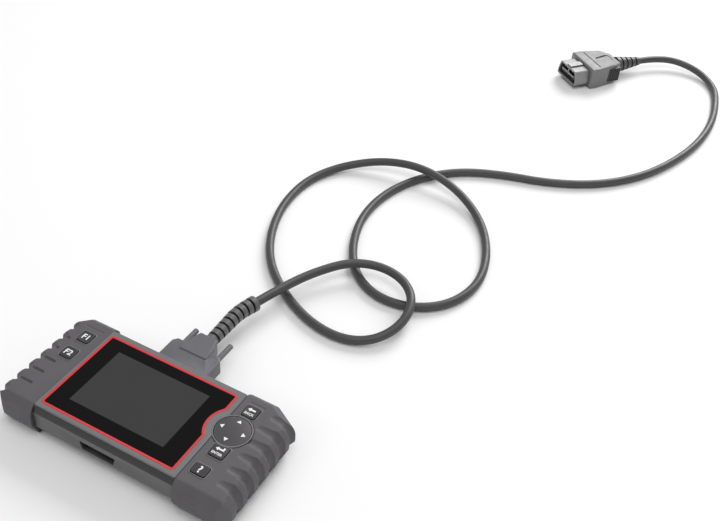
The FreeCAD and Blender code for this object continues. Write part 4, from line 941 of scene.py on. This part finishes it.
@dataclass
class Lead:
    """The lead from the hood's boot to the plug.

    Attributes:
        diameter: The lead's diameter in metres.
        lie: The height of its centre where it lies on the surface, in millimetres.
        over: The height of its centre where it passes over itself, in millimetres.
        plug_axis: The height of the plug's axis in millimetres.
        boot_edge: The rounding of the strain relief's ribs in millimetres.
    """

    diameter: float = 0.008
    lie: float = 4.05
    over: float = 15.0
    plug_axis: float = 12.6
    boot_edge: float = 0.35

    def route(self) -> list[tuple[float, float, float]]:
        """The lead's control points, in millimetres.

        Returns:
            The points from the boot to the plug.
        """
        lie, over, axis = self.lie, self.over, self.plug_axis
        return [
            (-0.8, 143.0, 18.6), (7, 176, 16.5), (19, 209, over), (39, 239, over), (66, 249, over),
            (93, 242, over), (111, 220.5, over), (113.5, 192.5, 11), (99, 168.5, 5.5), (73, 157.5, lie),
            (38, 163, lie), (0, 184, lie), (-31, 212, lie), (-53, 250, lie), (-66, 295, lie),
            (-66, 341, lie), (-46, 381, 5.5), (-9, 403, 13), (33, 408, 16), (75, 400, 9), (112, 372, lie),
            (136, 330, lie), (146, 286, lie), (135, 247, lie), (107, 224, lie), (73, 221, lie),
            (42, 240, lie), (20, 277, lie), (8, 321, lie), (11, 366, lie), (28, 407, lie), (57, 440, lie),
            (97, 460, lie), (143, 473, lie), (187, 499, lie), (221, 538, lie), (243, 585, lie),
            (257, 636, lie), (261, 688, lie), (255, 737, lie), (243, 780, lie), (211, 806, 7.5),
            (171, 800, axis), (148, 771, axis),
        ]

    def build(self) -> None:
        """Builds the lead and its strain relief."""
        points = self.route()
        curve = bpy.data.curves.new("lead", "CURVE")
        curve.dimensions = "3D"
        spline = curve.splines.new("NURBS")
        spline.points.add(len(points) - 1)
        for target, place in zip(spline.points, points):
            target.co = (*(c * MM for c in place), 1.0)
        spline.order_u = 3
        spline.use_endpoint_u = True
        spline.resolution_u = 10
        curve.bevel_depth = self.diameter / 2
        curve.bevel_resolution = 7
        curve.use_fill_caps = True
        lead = new_object("lead", curve)
        dress(lead, JACKET, Body.CABLE)
        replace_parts(lead, "lead_cord")
        boot = softened("cable_boot", BOOT, Body.CABLE, self.boot_edge, ROUND_WORK)


# ------------------------------------------------------------------ studio


@dataclass(frozen=True)
class Lamp:
    """A soft square light.

    Attributes:
        name: The light's name.
        place: Where it is, in metres.
        aim: What it points at, in metres.
        size: The length of its side in metres.
        power: Its power in watts.
    """

    name: str
    place: tuple[float, float, float]
    aim: tuple[float, float, float]
    size: float
    power: float

    def build(self) -> None:
        """Adds the light."""
        data = bpy.data.lights.new(self.name, "AREA")
        data.shape = "SQUARE"
        data.size = self.size
        data.energy = self.power
        lamp = new_object(self.name, data)
        lamp.location = self.place
        lamp.rotation_mode = "QUATERNION"
        lamp.rotation_quaternion = (Vector(self.aim) - Vector(self.place)).to_track_quat("-Z", "Y")


@dataclass
class Studio:
    """The floor, the soft light and the camera.

    Attributes:
        eye: The camera's place in millimetres.
        azimuth: Where it looks, in degrees from +Y.
        elevation: How far it looks down, in degrees.
        roll: Its roll in degrees.
        lens: Its focal length in millimetres.
        sensor: Its sensor's width in millimetres.
        floor_half: Half the length of the floor's side in metres.
        floor_drop: How far the floor lies below the object, in metres.
        floor_tones: The floor's two tones of white.
        ambient: The strength of the light from all round.
        lamps: The lights.
    """

    eye: tuple[float, float, float] = (341.2, -373.4, 591.8)
    azimuth: float = 25.60
    elevation: float = 40.07
    roll: float = 4.985
    lens: float = 49.74
    sensor: float = 36.0
    floor_half: float = 30.0
    floor_drop: float = 0.0001
    floor_tones: tuple[tuple[float, float, float], ...] = ((0.90, 0.90, 0.90), (0.93, 0.93, 0.93))
    ambient: float = 0.42
    lamps: tuple[Lamp, ...] = (
        Lamp("key", (0.1, 2.9, 1.7), (0.05, 0.25, 0.0), 1.6, 74.0),
        Lamp("fill", (-0.7, -1.35, 1.45), (0.0, 0.0, 0.0), 0.6, 3.0),
        Lamp("top", (0.5, -0.3, 2.4), (0.1, 0.3, 0.0), 1.8, 22.0),
    )

    def build(self) -> None:
        """Builds the studio."""
        self.camera()
        self.floor()
        for lamp in self.lamps:
            lamp.build()
        world = bpy.data.worlds.new("studio")
        bpy.context.scene.world = world
        world.use_nodes = True
        sky = world.node_tree.nodes["Background"]
        sky.inputs["Color"].default_value = (1.0, 1.0, 1.0, 1.0)
        sky.inputs["Strength"].default_value = self.ambient
        bpy.context.scene.view_settings.view_transform = "Standard"

    def camera(self) -> None:
        """Places the camera."""
        data = bpy.data.cameras.new("camera")
        data.sensor_width = self.sensor
        data.lens = self.lens
        data.clip_start = 0.01
        camera = new_object("camera", data)
        camera.location = Vector(self.eye) * MM
        turn = Euler((math.radians(90 - self.elevation), 0, math.radians(self.azimuth)), "XYZ")
        roll = Matrix.Rotation(math.radians(self.roll), 4, "Z")
        camera.rotation_mode = "QUATERNION"
        camera.rotation_quaternion = (turn.to_matrix().to_4x4() @ roll).to_quaternion()
        bpy.context.scene.camera = camera

    def floor(self) -> None:
        """Lays a large pale floor just under the object."""
        work = bmesh.new()
        bmesh.ops.create_grid(work, x_segments=2, y_segments=2, size=self.floor_half)
        mesh = bpy.data.meshes.new("floor")
        work.to_mesh(mesh)
        work.free()
        floor = new_object("floor", mesh)
        floor.location.z = -self.floor_drop
        sheet = NodeSheet("floor_white")
        shade = sheet.mix(sheet.noise(0.4, 2), *self.floor_tones)
        sheet.link(shade, sheet.shader.inputs["Base Color"])
        sheet.shader.inputs["Roughness"].default_value = 0.8
        floor.data.materials.append(sheet.material)


def main() -> None:
    """Builds the studio and every sub-assembly."""
    logging.basicConfig(level=logging.INFO, format="%(message)s")
    Studio().build()
    parts = [Case(), Display(), Keypad(), ArrowPad(), Insides(), Connector(), Plug(), Lead()]
    for part in parts:
        part.build()
        LOG.info("built %s", type(part).__name__)


if __name__ == "__main__":
    main()
